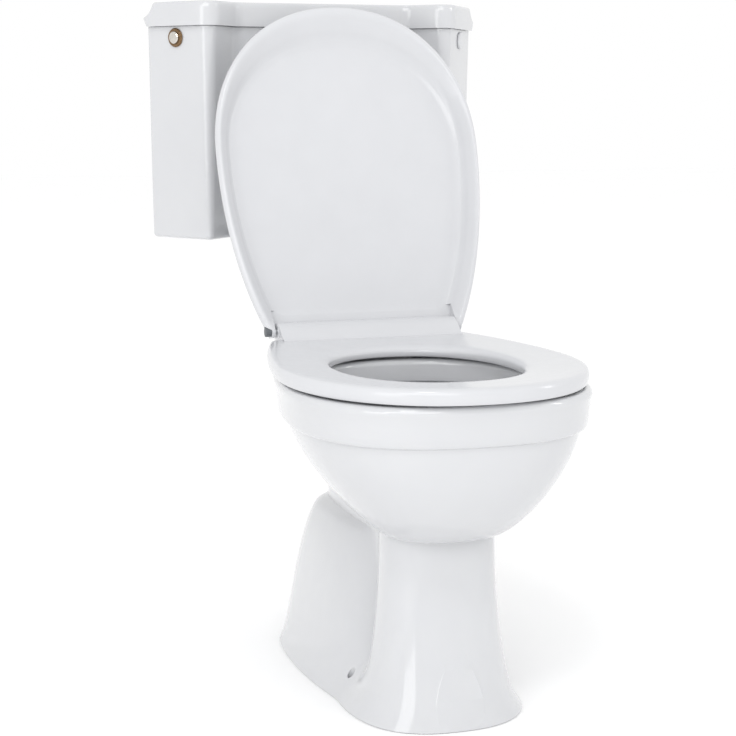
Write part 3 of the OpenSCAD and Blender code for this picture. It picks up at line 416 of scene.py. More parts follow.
def trapLobe(z):
    p = panSizes
    t = min(1, z / p["shoulderZ"])
    side = blend(p["trapHalfW"], p["shoulderHalfW"], t)
    halfW = blend(p["neckHalfW"], side, (1 - t ** p["shoulderPower"]) ** (1 / p["shoulderPower"]))
    front = -p["trapFront"] - p["trapFrontRun"] * (1 - t)
    back = blend(p["footBack"], p["neckBack"], t * t)
    back += (p["deckRootBack"] - p["neckBack"]) * ramp(z, p["shoulderZ"], p["deckRootZ"]) ** 2
    return halfW, front, -p["trapMid"], back, p["footPower"], p["footPower"]


def panLobes(z, onBand):
    p = panSizes
    powers = (p["footPower"], p["footPower"])
    flangeW = p["footHalfW"] * max(0, 1 - z / p["flangeH"]) ** p["flangeSplay"]
    flange = (flangeW, -p["footFront"], -p["flangeMid"], p["footBack"], *powers)
    trap = trapLobe(z)
    neck = (p["neckHalfW"] - 4, -p["neckFront"], -p["neckMid"], trap[3] - 2, *powers)
    return [columnLobe(z, onBand), trap, flange, neck]


def panRing(z, atZ=None, inset=0.0, onBand=False, steps=120):
    # The lobes at one height melted into one outline, with its points crowded at the ends and the valley
    lobes = panLobes(z, onBand)
    front, back = min(lobes[0][1], lobes[1][1]), max(lobes[0][3], lobes[1][3])
    half = steps // 2
    valley, power = panSizes["valleyY"], panSizes["meltPower"]
    turns = (1 - np.cos(np.arange(half + 1) * math.pi / half)) / 2
    ys = np.concatenate([front + (valley - front) * turns, valley + (back - valley) * turns[1:]])
    widths = np.array([sum(lobeWidth(y, s) ** power for s in lobes) ** (1 / power) for y in ys])
    middle = (front + back) / 2
    xs = widths * (1 - inset / widths.max())
    ys = middle + (ys - middle) * (1 - 2 * inset / (back - front))
    return mirrored(np.stack([xs, ys, np.full(len(ys), z if atZ is None else atZ)], 1))


def bowlRing(w, front, back, mid, z, steps=120):
    power = panSizes["bowlPower"]
    a = np.arange(steps + 1) * math.pi / steps
    reach = np.where(np.arange(steps + 1) < steps / 2, mid - front, back - mid)
    ys = mid - reach * squared(np.cos(a), power)
    return mirrored(np.stack([w * squared(np.sin(a), power), ys, np.full(steps + 1, z)], 1))


def mouthRing(grow, z):
    p = panSizes
    front, back = -p["mouthFront"] - grow, -p["mouthBack"] + grow
    return bowlRing(p["mouthHalfW"] + grow, front, back, -p["mouthMid"], z)


def bowlWall(z):
    p = panSizes
    top = p["rimZ"] - p["lipH"] - p["lipBend"]
    t = bulge(ramp(z, p["waistZ"] + 2, top), *p["sideSwell"])
    f = bulge(ramp(z, p["waistZ"], top), *p["frontSwell"])
    k = t ** p["bowlSwell"]
    return bowlRing(blend(p["sumpR"], p["mouthHalfW"] + p["undercut"], t),
                    -blend(p["sumpY"] + p["sumpR"], p["mouthFront"] + p["undercut"], f),
                    -blend(p["sumpY"] - p["sumpR"], p["mouthBack"] - p["undercut"], k),
                    -blend(p["sumpY"], p["mouthMid"], k), z)


def platformRing(z, inset=0.0, atZ=None, steps=160):
    p = panSizes
    footZ, rimZ, topZ = p["platformFootZ"], p["rimZ"], p["platformZ"]
    front = blend(p["platformFootFront"], p["platformRimFront"], ramp(z, footZ, rimZ))
    if z >= rimZ:
        front = blend(p["platformRimFront"], p["platformFront"], ramp(z, rimZ, topZ) ** p["frontLean"])
    back = ramp(z, footZ, topZ - p["uprightH"]) ** p["backLean"]
    back = blend(p["platformFootBack"], p["platformBack"], back)
    w = bulge(ramp(z, footZ, rimZ + p["swellH"]), *p["platformSwell"])
    w = blend(p["platformFootHalfW"], p["platformHalfW"], w)
    a = np.arange(steps) * 2 * math.pi / steps - math.pi / 2
    xs = (w - inset) * squared(np.cos(a), p["platformPower"])
    ys = (front + back) / 2 + ((back - front) / 2 - inset) * squared(np.sin(a), p["platformPower"])
    return np.stack([xs, ys, np.full(steps, z if atZ is None else atZ)], 1)


def bentTube(radius, bendR, place, steps=48, around=40):
    # Half a torus whose two ends meet straight tubes
    rings = []
    for k in range(steps + 1):
        a = math.pi * k / steps
        b = np.arange(around) * 2 * math.pi / around
        r = bendR + radius * np.cos(b)
        rings.append(np.stack([radius * np.sin(b), r * math.cos(a), r * math.sin(a)], 1))
    piece = makeMesh("cutter", rings, (0, bendR, 0), (0, -bendR, 0))
    piece.data.transform(place)
    return turnOutwards(piece)


def panSkin():
    # One skin from the recess under the foot, up the outside, over the rim and down the bowl to the sump
    p = panSizes
    rimZ, bandZ, lipZ = p["rimZ"], p["rimZ"] - p["bandH"], p["rimZ"] - p["lipH"]
    recess = panRing(p["footRecessH"], 0, p["footWall"])
    ceiling = recess.copy()
    ceiling[:, 2] = p["footRecessH"]
    rings = [ceiling, recess, panRing(0, 0, 1.0), panRing(0, 0.6, 0.2)]
    heights = np.concatenate([np.linspace(2, 60, 16), np.linspace(66, 186, 26), np.linspace(188, 214, 10)])
    rings += [panRing(z) for z in heights]
    rings += [panRing(blend(p["waistZ"], bandZ - 1.6, t ** 1.5)) for t in np.linspace(0, 1, 44)]
    # The band steps out over the wall below it through a small fillet
    under, over = panRing(bandZ - 0.01), panRing(bandZ, onBand=True)
    fillet = ((0.03, -0.9), (0.1, -0.35), (0.25, 0), (0.5, 0.3), (0.72, 0.9), (0.88, 1.8), (0.97, 3.2))
    for share, rise in fillet:
        ring = blend(under, over, share)
        ring[:, 2] = bandZ + rise
        rings.append(ring)
    rings += [panRing(z, onBand=True) for z in (bandZ + 5, bandZ + 12, bandZ + 24, rimZ - 11)]
    outerEdge = ((0.15, 8), (0.6, 5.4), (1.4, 3.4), (2.6, 1.9), (4.2, 0.8), (6, 0.2), (8, 0))
    rings += [panRing(rimZ, rimZ - drop, inset, True) for inset, drop in outerEdge]
    mouthEdge = ((8, 0), (6, 0.15), (4, 0.7), (2.3, 1.7), (1.1, 3.2), (0.3, 5.2), (0, 7.5), (0, 16), (0, 24))
    rings += [mouthRing(grow, rimZ - drop) for grow, drop in mouthEdge]
    lipEdge = ((0.6, 2.2), (2.2, 0.8), (4.5, 0.2), (8.4, 0))
    rings += [mouthRing(grow, lipZ + rise) for grow, rise in lipEdge]
    rings += [bowlWall(blend(lipZ - p["lipBend"], p["waistZ"] - 4, t)) for t in np.linspace(0, 1, 44)]
    rings += [bowlWall(z) for z in (201, 180, p["sumpZ"])]
    return makeMesh("glazedPan", rings, (0, -p["footMid"], p["footRecessH"]), (0, -p["sumpY"], p["sumpZ"]))


def platformShelf():
    p = panSizes
    footZ, topZ = p["platformFootZ"], p["platformZ"]
    rings = [platformRing(z) for z in np.linspace(footZ, topZ - 6, 40)]
    edge = ((0.3, 4), (1.0, 2.3), (2.2, 1), (3.6, 0.3), (5, 0))
    rings += [platformRing(topZ, inset, topZ - drop) for inset, drop in edge]
    middle = (p["platformFront"] + p["platformBack"]) / 2
    return makeMesh("cutter", rings, (0, p["platformFootMid"], footZ), (0, middle, topZ))


def trapCutters():
    # Down from the sump, round the dip, over the crown and down to the outlet
    p = panSizes
    crown = (p["sumpY"] - 2 * p["dipBendR"]) / 2
    dip = move(0, -p["sumpY"] + p["dipBendR"], p["bendZ"]) @ turn(180, "X")
    return [
        rod(p["trapR"], p["bendZ"] - 0.5, p["sumpZ"] + 1, move(0, -p["sumpY"], 0), 40),
        bentTube(p["trapR"], p["dipBendR"], dip),
        bentTube(p["trapR"] - 0.01, crown, move(0, -crown, p["bendZ"] - 0.02)),
        rod(p["trapR"], p["outletH"] - 10, p["bendZ"] + 0.5, move(0, 0, 0), 40),
        rod(p["outletR"], -1, p["outletH"], move(0, 0, 0), 80),
    ]


def flushCutters():
    # The gasket's recess, the inlet, the sloping duct and the level one that ends in the bowl
    p = panSizes
    run, drop = p["flushY"] - p["kneeY"], p["dropZ"] - p["ductZ"]
    slope = turn(-math.degrees(math.atan2(run, drop)), "X")
    inlet, level = move(0, p["flushY"], 0), move(0, 0, p["ductZ"]) @ turn(90, "X")
    return [
        rod(p["recessR"], p["platformZ"] - p["recessH"], p["platformZ"] + 1, inlet, 96),
        rod(p["inletR"], p["dropZ"] - p["ductR"] - 2, p["platformZ"], inlet),
        rod(p["ductR"], 0, math.hypot(run, drop), move(0, p["kneeY"], p["ductZ"]) @ slope),
        rod(p["ductR"] + 2, -p["kneeY"] - p["ductR"], p["mouthBack"] + 8, level),
    ]


def holeCutters():
    p = panSizes
    boltFace, hingeFace = p["platformZ"] - p["clampT"], p["rimZ"] - p["clampT"]
    cutters = []
    for side in (-1, 1):
        screw = move(side * p["floorHoleX"], -p["floorHoleY"], 0)
        bolt, hinge = move(side * p["boltX"], p["boltY"], 0), move(side * p["hingeX"], 0, 0)
        cutters += [rod(p["floorHoleR"], -1, p["floorHoleH"], screw, 40),
                    rod(p["boltHoleR"], boltFace - 1, p["platformZ"] + 1, bolt, 40),
                    rod(p["nutFaceR"], p["platformFootZ"], boltFace, bolt, 48),
                    rod(p["hingeHoleR"], hingeFace - 1, p["rimZ"] + 1, hinge, 40),
                    rod(p["nutFaceR"], p["waistZ"], hingeFace, hinge, 48)]
    return cutters


def makePan():
    pan = panSkin()
    spigot = rod(panSizes["spigotR"], 0, panSizes["footRecessH"] + 1, move(0, 0, 0), 96)
    merge(pan, [platformShelf(), spigot], "UNION")
    merge(pan, trapCutters() + flushCutters() + holeCutters(), "DIFFERENCE")
    smooth(pan, 34)
    finishPiece(pan, glaze, "base", "glazed_white", "pan")


makePan()
print("pan made")

# Cistern and lid, open inside as the CAD's are
cisternSizes = {
    "z": 537, "h": 294, "wall": 10, "floor": 12, "taper": 8.5, "edgeR": 5, "centreY": 365,
    # Corners of the outline and their radii
    "frontX": 173, "frontY": 160, "bayX": 126, "bayY": 207, "wingX": 242, "wingY": 254, "backX": 68,
    "frontR": 16, "bayR": 30, "wingR": 8, "backR": 15, "leastR": 1.5,
    # Holes in the floor, the ends and the wall sides
    "tailHoleR": 30.8, "fillX": 178, "fillY": 235, "fillHoleR": 11.5, "buttonShare": 0.53,
    "buttonDrop": 15.5, "buttonHoleR": 11.1, "screwPitch": 100, "screwDrop": 41, "screwHoleR": 3.5,
}
cisternTop = cisternSizes["z"] + cisternSizes["h"]


def insetSides(plan, distances):
    out = []
    for i in range(len(plan)):
        before = plan[i] - plan[i - 1]
        after = plan[(i + 1) % len(plan)] - plan[i]
        m = np.array([-before[1], before[0]]) / np.linalg.norm(before)
        n = np.array([-after[1], after[0]]) / np.linalg.norm(after)
        dm, dn = distances[i - 1], distances[i]
        shift = np.array([dm * n[1] - dn * m[1], dn * m[0] - dm * n[0]]) / (m[0] * n[1] - m[1] * n[0])
        out.append(plan[i] + shift)
    return out


def roundCorners(plan, radii, steps=14):
    out = []
    for i, corner in enumerate(plan):
        u = (plan[i - 1] - corner) / np.linalg.norm(plan[i - 1] - corner)
        v = (plan[(i + 1) % len(plan)] - corner) / np.linalg.norm(plan[(i + 1) % len(plan)] - corner)
        half = math.acos(np.clip(u @ v, -1, 1)) / 2
        middle = corner + (u + v) / np.linalg.norm(u + v) * radii[i] / math.sin(half)
        x, y = corner + u * radii[i] / math.tan(half) - middle
        sweep = math.copysign(math.pi - 2 * half, v[0] * u[1] - v[1] * u[0])
        for k in range(steps + 1):
            a = sweep * k / steps
            spoke = np.array([x * math.cos(a) - y * math.sin(a), x * math.sin(a) + y * math.cos(a)])
            out.append(middle + spoke)
    return np.array(out)


def cisternRing(d, wallD, z):
    # The outline moved in by one distance on the show sides and by another on the wall sides
    c = cisternSizes
    backY = c["wingY"] + c["wingX"] - c["backX"]
    plan = [np.array(q, float) for q in (
        (-c["frontX"], c["frontY"]), (-c["bayX"], c["bayY"]),
        (c["bayX"], c["bayY"]), (c["frontX"], c["frontY"]),
        (c["wingX"], c["wingY"]), (c["backX"], backY),
        (-c["backX"], backY), (-c["wingX"], c["wingY"]))]
    front, bay, wing, back = c["frontR"] - d, c["bayR"] + d, c["wingR"] - d, c["backR"] - wallD
    radii = [max(c["leastR"], r) for r in (front, bay, bay, front, wing, back, back, wing)]
    flat = roundCorners(insetSides(plan, [d, d, d, d, wallD, wallD, wallD, d]), radii)
    return np.concatenate([flat, np.full((len(flat), 1), z)], 1)


def taperedRing(d, z):
    c = cisternSizes
    return cisternRing(d + c["taper"] * (cisternTop - z) / c["h"], d, z)


def cisternSkin(name, rings, low, high):
    centreY = cisternSizes["centreY"]
    return makeMesh(name, rings, (0, centreY, low), (0, centreY, high))


def endFace(side):
    # Local +Z points out of the ceramic, with its origin on the outer face at the button's place
    c = cisternSizes
    run = np.array([c["wingX"] - c["frontX"], c["wingY"] - c["frontY"]])
    normal = np.array([run[1], -run[0]]) / np.linalg.norm(run)
    x, y = np.array([c["frontX"], c["frontY"]]) + run * c["buttonShare"]
    yaw = math.degrees(math.atan2(normal[0], -normal[1]))
    tilt = math.degrees(math.atan(c["taper"] / c["h"]))
    sunk = c["taper"] * c["buttonDrop"] / c["h"]
    place = move(side * x, y, cisternTop - c["buttonDrop"]) @ turn(side * yaw, "Z")
    return place @ turn(90 + tilt, "X") @ move(0, 0, -sunk)


def wallSide(side, z):
    # Local +X runs along the side that stands against the wall, and +Y points into the cistern
    c = cisternSizes
    x, y = (c["wingX"] + c["backX"]) / 2, c["wingY"] + (c["wingX"] - c["backX"]) / 2
    return move(side * x, y, z) @ turn(side * 135, "Z")


def makeCistern():
    c, p = cisternSizes, panSizes
    edge, floorZ = c["edgeR"], c["z"] + c["floor"]
    rings = []
    for a in np.linspace(0, math.pi / 2, 8):
        rings.append(taperedRing(edge * (1 - math.sin(a)), c["z"] + edge * (1 - math.cos(a))))
    rings += [taperedRing(0, z) for z in np.linspace(c["z"] + 12, cisternTop - 6, 12)]
    topEdge = ((0, 0.6), (0.1, 0.25), (0.3, 0.05), (0.6, 0))
    rings += [taperedRing(inset, cisternTop - drop) for inset, drop in topEdge]
    body = cisternSkin("glazedCistern", rings, c["z"], cisternTop)
    hollow = [taperedRing(c["wall"], z) for z in np.linspace(floorZ, cisternTop + 1, 12)]
    floorLow, floorHigh = c["z"] - 1, floorZ + 1
    wallLow, wallHigh = -c["wall"] - 6, 6
    cutters = [cisternSkin("cutter", hollow, floorZ, cisternTop + 1),
               rod(c["tailHoleR"], floorLow, floorHigh, move(0, p["flushY"], 0)),
               rod(c["fillHoleR"], floorLow, floorHigh, move(c["fillX"], c["fillY"], 0))]
    for side in (-1, 1):
        cutters += [rod(p["boltHoleR"], floorLow, floorHigh, move(side * p["boltX"], p["boltY"], 0), 40),
                    rod(c["buttonHoleR"], wallLow, wallHigh, endFace(side))]
        wall = wallSide(side, cisternTop - c["screwDrop"]) @ turn(90, "X")
        for k in (-0.5, 0.5):
            screw = wall @ move(k * c["screwPitch"], 0, 0)
            cutters.append(rod(c["screwHoleR"], wallLow, wallHigh, screw, 32))
    merge(body, cutters, "DIFFERENCE")
    smooth(body, 30)
    finishPiece(body, glaze, "base", "glazed_white", "cistern_body")


lidSizes = {
    "gap": 0.3, "over": 6.5, "h": 33, "wall": 9, "coveW": 19, "coveH": 20, "coveWall": 6,
    "ribH": 10, "ribT": 6, "ribGap": 1.5, "frontRibHalfW": 88.2, "wallRibHalfW": 55,
}


def makeLid():
    s, c = lidSizes, cisternSizes
    low, out = cisternTop + s["gap"], -s["over"]
    top = low + s["h"]
    beak, ceiling = top - s["coveH"], top - s["wall"]
    # Each row is an inset on the show sides, one on the wall sides and a height
    rows = [(out + 0.6, -1.0, low), (out + 0.3, -1.02, low + 0.1), (out + 0.1, -1.1, low + 0.4)]
    rows += spline([(out + 0.1, -2.1, low + 2.2), (out, -4.2, low + 5.4), (out, out + 0.8, beak - 3.5)], 4)
    rows += [(out, out + 0.2, beak - 2.9), (out, out, beak - 2.3), (out, out, beak - 1)]
    for t in np.linspace(0, 0.94, 22):
        across = 0.4 * t + 0.6 * math.sin(math.pi / 2 * t)
        up = 0.4 * t + 0.6 * (1 - math.cos(math.pi / 2 * t))
        rows.append((out + 2 * t ** 8, out + 1 + (s["coveW"] - 2.5) * across, beak + (s["coveH"] - 0.5) * up))
    (show, wall, height), crest = rows[-1], (out + 4, out + s["coveW"] + 1, top)
    for k in (0.3, 0.6, 1.0):
        rise = math.sin(math.pi / 2 * k)
        rows.append((blend(show, crest[0], k), blend(wall, crest[1], k), blend(height, crest[2], rise)))
    lid = cisternSkin("glazedCisternLid", [cisternRing(*row) for row in rows], low, top)
    insets = out + s["wall"], out + s["coveW"] + s["wall"] - s["coveWall"]
    inside = [cisternRing(*insets, z) for z in (low - 1, ceiling)]
    merge(lid, [cisternSkin("cutter", inside, low - 1, ceiling)], "DIFFERENCE")
    # Ribs that hold the lid in place inside the cistern's front and wall sides
    step = c["wall"] + s["ribGap"]
    spots = [(s["frontRibHalfW"], move(0, c["bayY"] + step, 0))]
    for side in (-1, 1):
        spots.append((s["wallRibHalfW"], wallSide(side, 0) @ move(0, step + s["coveW"] - s["over"], 0)))
    ribLow, ribHigh = low - s["ribH"], ceiling + 1
    ribs = [block((-halfW, 0, ribLow), (halfW, s["ribT"], ribHigh), spot) for halfW, spot in spots]
    merge(lid, ribs, "UNION")
    smooth(lid, 30)
    finishPiece(lid, glaze, "lid", "glazed_white", "cistern_lid")


makeCistern()
makeLid()
print("cistern and lid made")

# Seat and cover turn on one hinge line above the deck, along X
hingeSizes = {"z": 429, "bore": 4.06, "knuckleR": 8.4, "barrelR": 11.5, "barrelX": 124}
seatSizes = {
    "halfW": 183, "front": 454, "backY": -12, "mid": 246, "tail": 170, "cornerR": 14, "nosePower": 2.15,
    "tailPower": 1.6, "z": 405.5, "t": 15.5, "openHalfW": 113, "openFront": 371, "openBack": 103,
    "openPower": 2.2, "cornerLean": 0.6, "lipEnd": 130, "lipFade": 70, "webRun": 36,
    # Slots for the hinge posts, with a lower shoulder behind each
    "slotX": 9, "slotFront": 7.7, "slotBack": 52, "slotH": 30, "slotGap": 0.6, "shoulderBack": 30,
    "shoulderH": 8.6,
}


def seatOutline(s):
    # The seat's or the cover's outline: a round nose, full sides and a straight back with rounded corners
    lobe = (s["halfW"], -s["front"], -s["mid"], s["tail"], s["nosePower"], s["tailPower"])
    front, back, r = -s["front"], s["backY"], s["cornerR"]
    turnY = back - r
    w = lobeWidth(turnY, lobe)
    lean = (w - lobeWidth(back, lobe)) * seatSizes["cornerLean"]
    points = []
    for a in np.linspace(0, math.pi / 2, 89):
        y = front + (turnY - front) * (1 - math.cos(a))
        points.append((lobeWidth(y, lobe), y, 0))
    for a in np.linspace(0, math.pi / 2, 17)[1:]:
        points.append((w - r * (1 - math.cos(a)) - lean * math.sin(a), turnY + r * math.sin(a), 0))
    for k in np.linspace(1, 0, 11)[1:]:
        points.append(((w - r - lean) * k, back, 0))
    return mirrored(np.array(points))


def seatLoop(outline, f, z):
    # The loop at share f of the way from the outer edge to the opening
    s = seatSizes
    middle = -(s["openFront"] + s["openBack"]) / 2
    reach = (s["openFront"] - s["openBack"]) / 2
    power = s["openPower"]
    d = outline[:, :2] - np.array([0, middle])
    k = ((np.abs(d[:, 0]) / s["openHalfW"]) ** power + (np.abs(d[:, 1]) / reach) ** power) ** (1 / power)
    hole = d / k[:, None] + np.array([0, middle])
    flat = outline[:, :2] * (1 - f) + hole * f
    # The lips under both edges run out towards the hinges
    lift = max(0, s["z"] - z) * np.clip((flat[:, 1] + s["lipEnd"]) / s["lipFade"], 0, 1)
    return np.concatenate([flat, (z + lift)[:, None]], 1)


def hingeBar(x0, x1, radius, edge=0.5, steps=56):
    profile = [(0, x0), (radius - edge, x0), (radius, x0 + edge),
               (radius, x1 - edge), (radius - edge, x1), (0, x1)]
    return lathe(profile, steps, move(0, 0, hingeSizes["z"]) @ turn(90, "Y"))


def prism(profile, x0, x1):
    # Extrudes a (y, z) outline along X
    rings = [np.array([(x, y, z) for y, z in profile], float) for x in (x0, x1)]
    centre = np.mean(profile, 0)
    return turnOutwards(makeMesh("cutter", rings, (x0, *centre), (x1, *centre)))


def makeSeat():
    s, r, hz, end = seatSizes, hingeSizes["barrelR"], hingeSizes["z"], hingeSizes["barrelX"]
    outline = seatOutline(s)
    # Shares of the way to the opening and of the thickness: outer lip, outer edge, top, inner edge, inner lip
    section = [(0.13, 0), (0.1, -0.06), (0.07, -0.16), (0.03, -0.19), (0.008, -0.14), (-0.008, 0.08),
               (-0.018, 0.4), (-0.012, 0.68), (0.012, 0.9), (0.06, 1.0), (0.14, 1.02), (0.3, 0.97),
               (0.55, 0.89), (0.8, 0.8), (0.9, 0.72), (0.96, 0.6), (0.99, 0.45), (1, 0.28), (0.998, 0.08),
               (0.985, -0.1), (0.955, -0.18), (0.9, -0.19), (0.84, -0.08), (0.8, 0), (0.5, 0)]
    low, high = np.min(section, 0), np.max(section, 0)
    rows = np.clip(spline(section, 3, loop=True), low, high)
    loops = [seatLoop(outline, f, s["z"] + z * s["t"]) for f, z in rows]
    seat = makeMesh("mouldedSeatRing", loops, loop=True)
    # The web falls from the barrel's top to the ring in an S
    underZ, webY, webZ = s["z"] + 2, s["backY"] - s["webRun"], s["z"] + s["t"] * 0.8
    web = [(0, hz), (0, hz - r + 0.2), (s["backY"] - 2, underZ), (webY, underZ)]
    for k in np.linspace(0, 1, 21):
        web.append((blend(webY, -1.5, k), blend(webZ, hz + r - 0.1, k * k * (3 - 2 * k))))
    merge(seat, [hingeBar(-end, end, r), prism(web[::-1], -end + 0.5, end - 0.5)], "UNION")
    cuts = [hingeBar(-end - 1, end + 1, hingeSizes["bore"])]
    for side in (-1, 1):
        x0, x1 = side * panSizes["hingeX"] - s["slotX"], side * panSizes["hingeX"] + s["slotX"]
        cuts += [hingeBar(x0, x1, hingeSizes["knuckleR"] + s["slotGap"]),
                 block((x0, -s["slotFront"], hz - s["slotH"]), (x1, s["slotBack"], hz)),
                 block((x0, 0, hz - 1), (x1, s["shoulderBack"], hz + s["shoulderH"]))]
    merge(seat, cuts, "DIFFERENCE")
    smooth(seat, 32)
    finishPiece(seat, seatPlastic, "seat", "white_seat_plastic", "seat_ring")


coverSizes = {
    "halfW": 185, "front": 448, "backY": 8, "mid": seatSizes["mid"], "tail": 121, "cornerR": 12,
    "nosePower": seatSizes["nosePower"], "tailPower": 2.0, "z": 421.6, "edgeH": 26, "shell": 5,
    "noseIn": 0.13, "open": 108, "lugX": 126.8, "leftLug": 7, "rightLug": 4.5, "lugFront": 8,
    "lugBack": 6, "blindEnd": 3, "capR": 7.1, "capH": 16,
}


def makeCover():
    s, h = coverSizes, hingeSizes
    e, t, lug, left, right = s["edgeH"], s["shell"], s["lugX"], s["leftLug"], s["rightLug"]
    outline = seatOutline(s)
    # Shares of the outline and heights, from the inner face over the edge to the outer face
    section = [(0.15, e + 4.8 - t), (0.4, e + 4 - t), (0.6, e + 3.1 - t), (0.75, e + 2 - t),
               (0.82, e + 1.2 - t), (0.85, e + 0.4 - t), (0.87, e - 0.7 - t), (0.885, e - 2 - t),
               (0.903, e * 0.58), (0.92, e * 0.4), (0.945, e * 0.17), (0.96, 1.4), (0.972, 0.1),
               (0.985, 0.8), (0.996, 3), (1, 7), (0.995, e * 0.46), (0.98, e * 0.7), (0.945, e * 0.9),
               (0.89, e + 1.5), (0.75, e + 3.5), (0.55, e + 5.1), (0.4, e + 6), (0.15, e + 6.8)]
    d = outline[:, 1] + s["mid"]
    rings = []
    for scale, z in spline(section, 4):
        scale = min(1, scale)
        nose = scale * (1 - s["noseIn"] * ramp(1 - scale, 0.02, 0.12))
        ys = -s["mid"] + d * np.where(d < 0, nose, scale)
        rings.append(np.stack([outline[:, 0] * scale, ys, np.full(len(d), s["z"] + max(0, z))], 1))
    faceZ = s["z"] + e
    cover = makeMesh("mouldedSeatCover", rings, (0, -s["mid"], faceZ + 5 - t), (0, -s["mid"], faceZ + 7))
    knuckles = []
    for x0, x1 in ((-lug - right, -lug), (lug, lug + left)):
        web = block((x0 + 0.2, -s["lugFront"], h["z"]), (x1 - 0.2, s["lugBack"], faceZ - t + 2))
        knuckles += [hingeBar(x0, x1, h["knuckleR"]), web]
    merge(cover, knuckles, "UNION")
    cuts = [block((-lug, -30, s["z"] - 1), (lug, 30, h["z"] + h["barrelR"] + 1)),
            hingeBar(-lug - right - 1, lug + left - s["blindEnd"], h["bore"]),
            hingeBar(-lug - right - s["capH"], -lug - right, s["capR"])]
    merge(cover, cuts, "DIFFERENCE")
    # The cover stands open at rest, as in the photograph
    cover.data.transform(move(0, 0, h["z"]) @ turn(-s["open"], "X") @ move(0, 0, -h["z"]))
    smooth(cover, 32)
    finishPiece(cover, seatPlastic, "cover", "white_seat_plastic", "seat_cover")


makeSeat()
makeCover()
print("seat and cover made")

# The seat's four rubber stops, set out by Geometry Nodes; squareness is the power that rounds their edges
stopSizes = {
    "places": [(112, -374), (140, -150)], "gap": 0.3, "squareness": 14.0,
    "lengths": {"Radius": 9.0, "Height": 4.9, "Edge": 1.1},
}


def newTree(name, sizes):
    # A tree with a geometry in and out, and one named input for each size
    tree = bpy.data.node_groups.new(name, "GeometryNodeTree")
    tree.interface.new_socket("Path", in_out="INPUT", socket_type="NodeSocketGeometry")
    for size in sizes:
        tree.interface.new_socket(size, in_out="INPUT", socket_type="NodeSocketFloat")
    tree.interface.new_socket("Piece", in_out="OUTPUT", socket_type="NodeSocketGeometry")
    return tree, addNode(tree, "NodeGroupInput").outputs


def endTree(tree, geometry, material):
    real = addNode(tree, "GeometryNodeRealizeInstances", links={0: geometry})
    painted = addNode(tree, "GeometryNodeSetMaterial", {}, {"Material": material}, {0: real.outputs[0]})
    addNode(tree, "NodeGroupOutput", links={0: painted.outputs[0]})


def runTree(tree, name, points, sizes):
    # Gives the tree a mesh of points, and keeps the plain mesh that it makes
    path = bpy.data.meshes.new(name)
    path.from_pydata([(x / 1000, y / 1000, z / 1000) for x, y, z in points], [], [])
    piece = bpy.data.objects.new(name, path)
    bpy.context.scene.collection.objects.link(piece)
    step = piece.modifiers.new(name, "NODES")
    step.node_group = tree
    for socket in tree.interface.items_tree:
        if socket.in_out == "INPUT" and socket.name in sizes:
            step[socket.identifier] = sizes[socket.name]
    settle(piece)
    return piece


def stopTree(material, sizes):
    # A round stop is a straight line swept by a circle whose radius shrinks near both ends
    tree, given = newTree("rubberStops", sizes)
    maths = "ShaderNodeMath"
    top = addNode(tree, "ShaderNodeCombineXYZ", links={"Z": given["Height"]})
    line = addNode(tree, "GeometryNodeCurvePrimitiveLine", links={"End": top.outputs[0]})
    fine = addNode(tree, "GeometryNodeResampleCurve", inputs={"Count": 20}, links={"Curve": line.outputs[0]})
    along = addNode(tree, "GeometryNodeSplineParameter")
    angle = addNode(tree, maths, {"operation": "MULTIPLY"}, {1: math.pi}, {0: along.outputs["Factor"]})
    cosine = addNode(tree, maths, {"operation": "COSINE"}, links={0: angle.outputs[0]})
    share = addNode(tree, maths, {"operation": "MULTIPLY_ADD"}, {1: -0.5, 2: 0.5}, {0: cosine.outputs[0]})
    level = addNode(tree, maths, {"operation": "MULTIPLY"}, links={0: share.outputs[0], 1: given["Height"]})
    place = addNode(tree, "ShaderNodeCombineXYZ", links={"Z": level.outputs[0]})
    crowded = addNode(tree, "GeometryNodeSetPosition",
                      links={"Geometry": fine.outputs[0], "Position": place.outputs[0]})
    size = addNode(tree, maths, {"operation": "ABSOLUTE"}, links={0: cosine.outputs[0]})
    near = addNode(tree, maths, {"operation": "POWER"}, links={0: size.outputs[0], 1: given["Squareness"]})
    lost = addNode(tree, maths, {"operation": "MULTIPLY"}, links={0: near.outputs[0], 1: given["Edge"]})
    radius = addNode(tree, maths, {"operation": "SUBTRACT"}, links={0: given["Radius"], 1: lost.outputs[0]})
    circle = addNode(tree, "GeometryNodeCurvePrimitiveCircle", inputs={"Resolution": 40, "Radius": 1.0})
    swept = {"Curve": crowded.outputs[0], "Profile Curve": circle.outputs[0], "Scale": radius.outputs[0]}
    stop = addNode(tree, "GeometryNodeCurveToMesh", inputs={"Fill Caps": True}, links=swept)
    many = addNode(tree, "GeometryNodeInstanceOnPoints",
                   links={"Points": given["Path"], "Instance": stop.outputs[0]})
    endTree(tree, many.outputs[0], material)
    return tree


def makeStops():
    restZ = panSizes["rimZ"] + stopSizes["gap"]
    places = [(side * x, y, restZ) for x, y in stopSizes["places"] for side in (1, -1)]
    sizes = {name: length / 1000 for name, length in stopSizes["lengths"].items()}
    sizes["Squareness"] = stopSizes["squareness"]
    piece = runTree(stopTree(greyRubber, sizes), "seatStops", places, sizes)
    smooth(piece, 40)
    finishPiece(piece, greyRubber, "seat", "grey_rubber", "seat_buffers")


makeStops()
print("stops made")

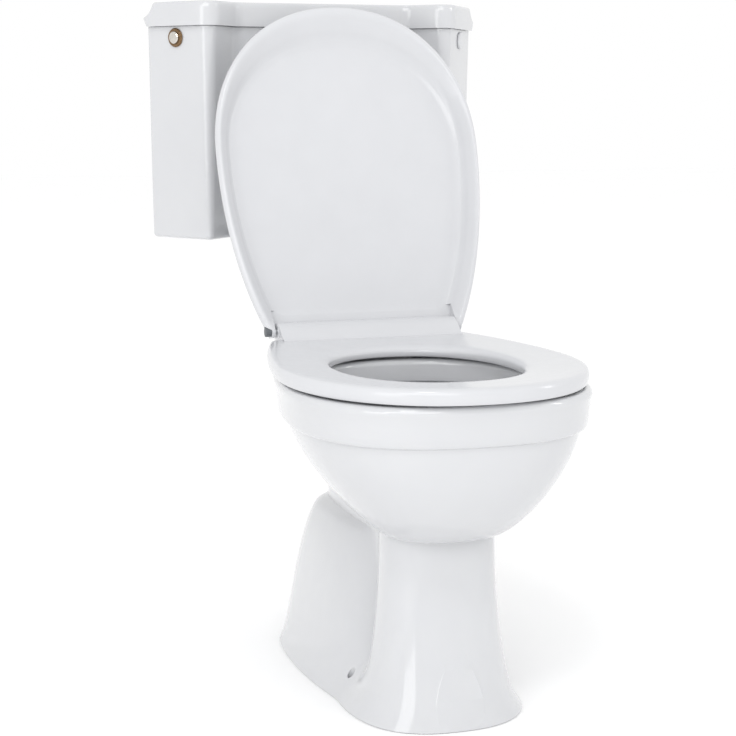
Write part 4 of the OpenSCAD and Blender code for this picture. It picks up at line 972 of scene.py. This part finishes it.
# White paper and air; each lamp has its place and its size in metres and its power in watts
studio = {
    "floor": "#FFFFFF", "world": "#FFFFFF", "worldPower": 1.0, "reach": 14.0, "floorDrop": 0.0005,
    "aim": (0, -0.1, 0.45),
    "lamps": {"key": ((-0.9, -2.0, 3.0), (0.6, 0.5), 11), "fill": ((3.1, -1.4, 1.8), (0.4, 1.0), 7),
              "side": ((-3.0, -2.4, 1.0), (1.6, 1.6), 14), "front": ((-1.4, -3.4, 2.1), (3.0, 1.2), 28)},
}


def makeFloor():
    floor = bpy.data.meshes.new("studioFloor")
    r, z = studio["reach"], -studio["floorDrop"]
    corners = [(-r, -r, z), (r, -r, z), (r, r, z), (-r, r, z)]
    floor.from_pydata(corners, [], [(0, 1, 2, 3)])
    ground = bpy.data.objects.new("studioFloor", floor)
    bpy.context.scene.collection.objects.link(ground)
    material, _, shader = newMaterial("paleStudioPaper")
    shader.inputs["Base Color"].default_value = linear(studio["floor"])
    setShader(shader, Roughness=0.9)
    floor.materials.append(material)


def makeStudio():
    makeFloor()
    world = bpy.data.worlds.new("studioAir")
    bpy.context.scene.world = world
    world.use_nodes = True
    air = world.node_tree.nodes["Background"]
    air.inputs["Color"].default_value = linear(studio["world"])
    air.inputs["Strength"].default_value = studio["worldPower"]
    for name, (at, size, power) in studio["lamps"].items():
        lamp = bpy.data.lights.new(name + "Panel", "AREA")
        lamp.shape = "RECTANGLE"
        lamp.size, lamp.size_y = size
        lamp.energy = power
        panel = bpy.data.objects.new(name + "Panel", lamp)
        bpy.context.scene.collection.objects.link(panel)
        panel.location = at
        panel.rotation_euler = (Vector(studio["aim"]) - Vector(at)).to_track_quat("-Z", "Y").to_euler()
    bpy.context.scene.view_settings.view_transform = "Standard"


makeStudio()
print("studio lit")

# Finishes on the CAD pieces that stay; the button's ring is plated darker than its push piece
slotOf = {part["node"]: part["material_slot"] for part in frame["record"]["subparts"]}
finishes = {
    "glazed_white": glaze, "white_seat_plastic": seatPlastic, "white_nylon": whiteNylon,
    "grey_rubber": greyRubber, "black_rubber": blackRubber, "steel": steel, "chrome": chrome,
}
for nodeName, piece in frame["nodes"].items():
    material = bronzed if nodeName == "button_ring" else finishes[slotOf[nodeName]]
    for slot in piece.material_slots:
        slot.material = material
print("finishes set")
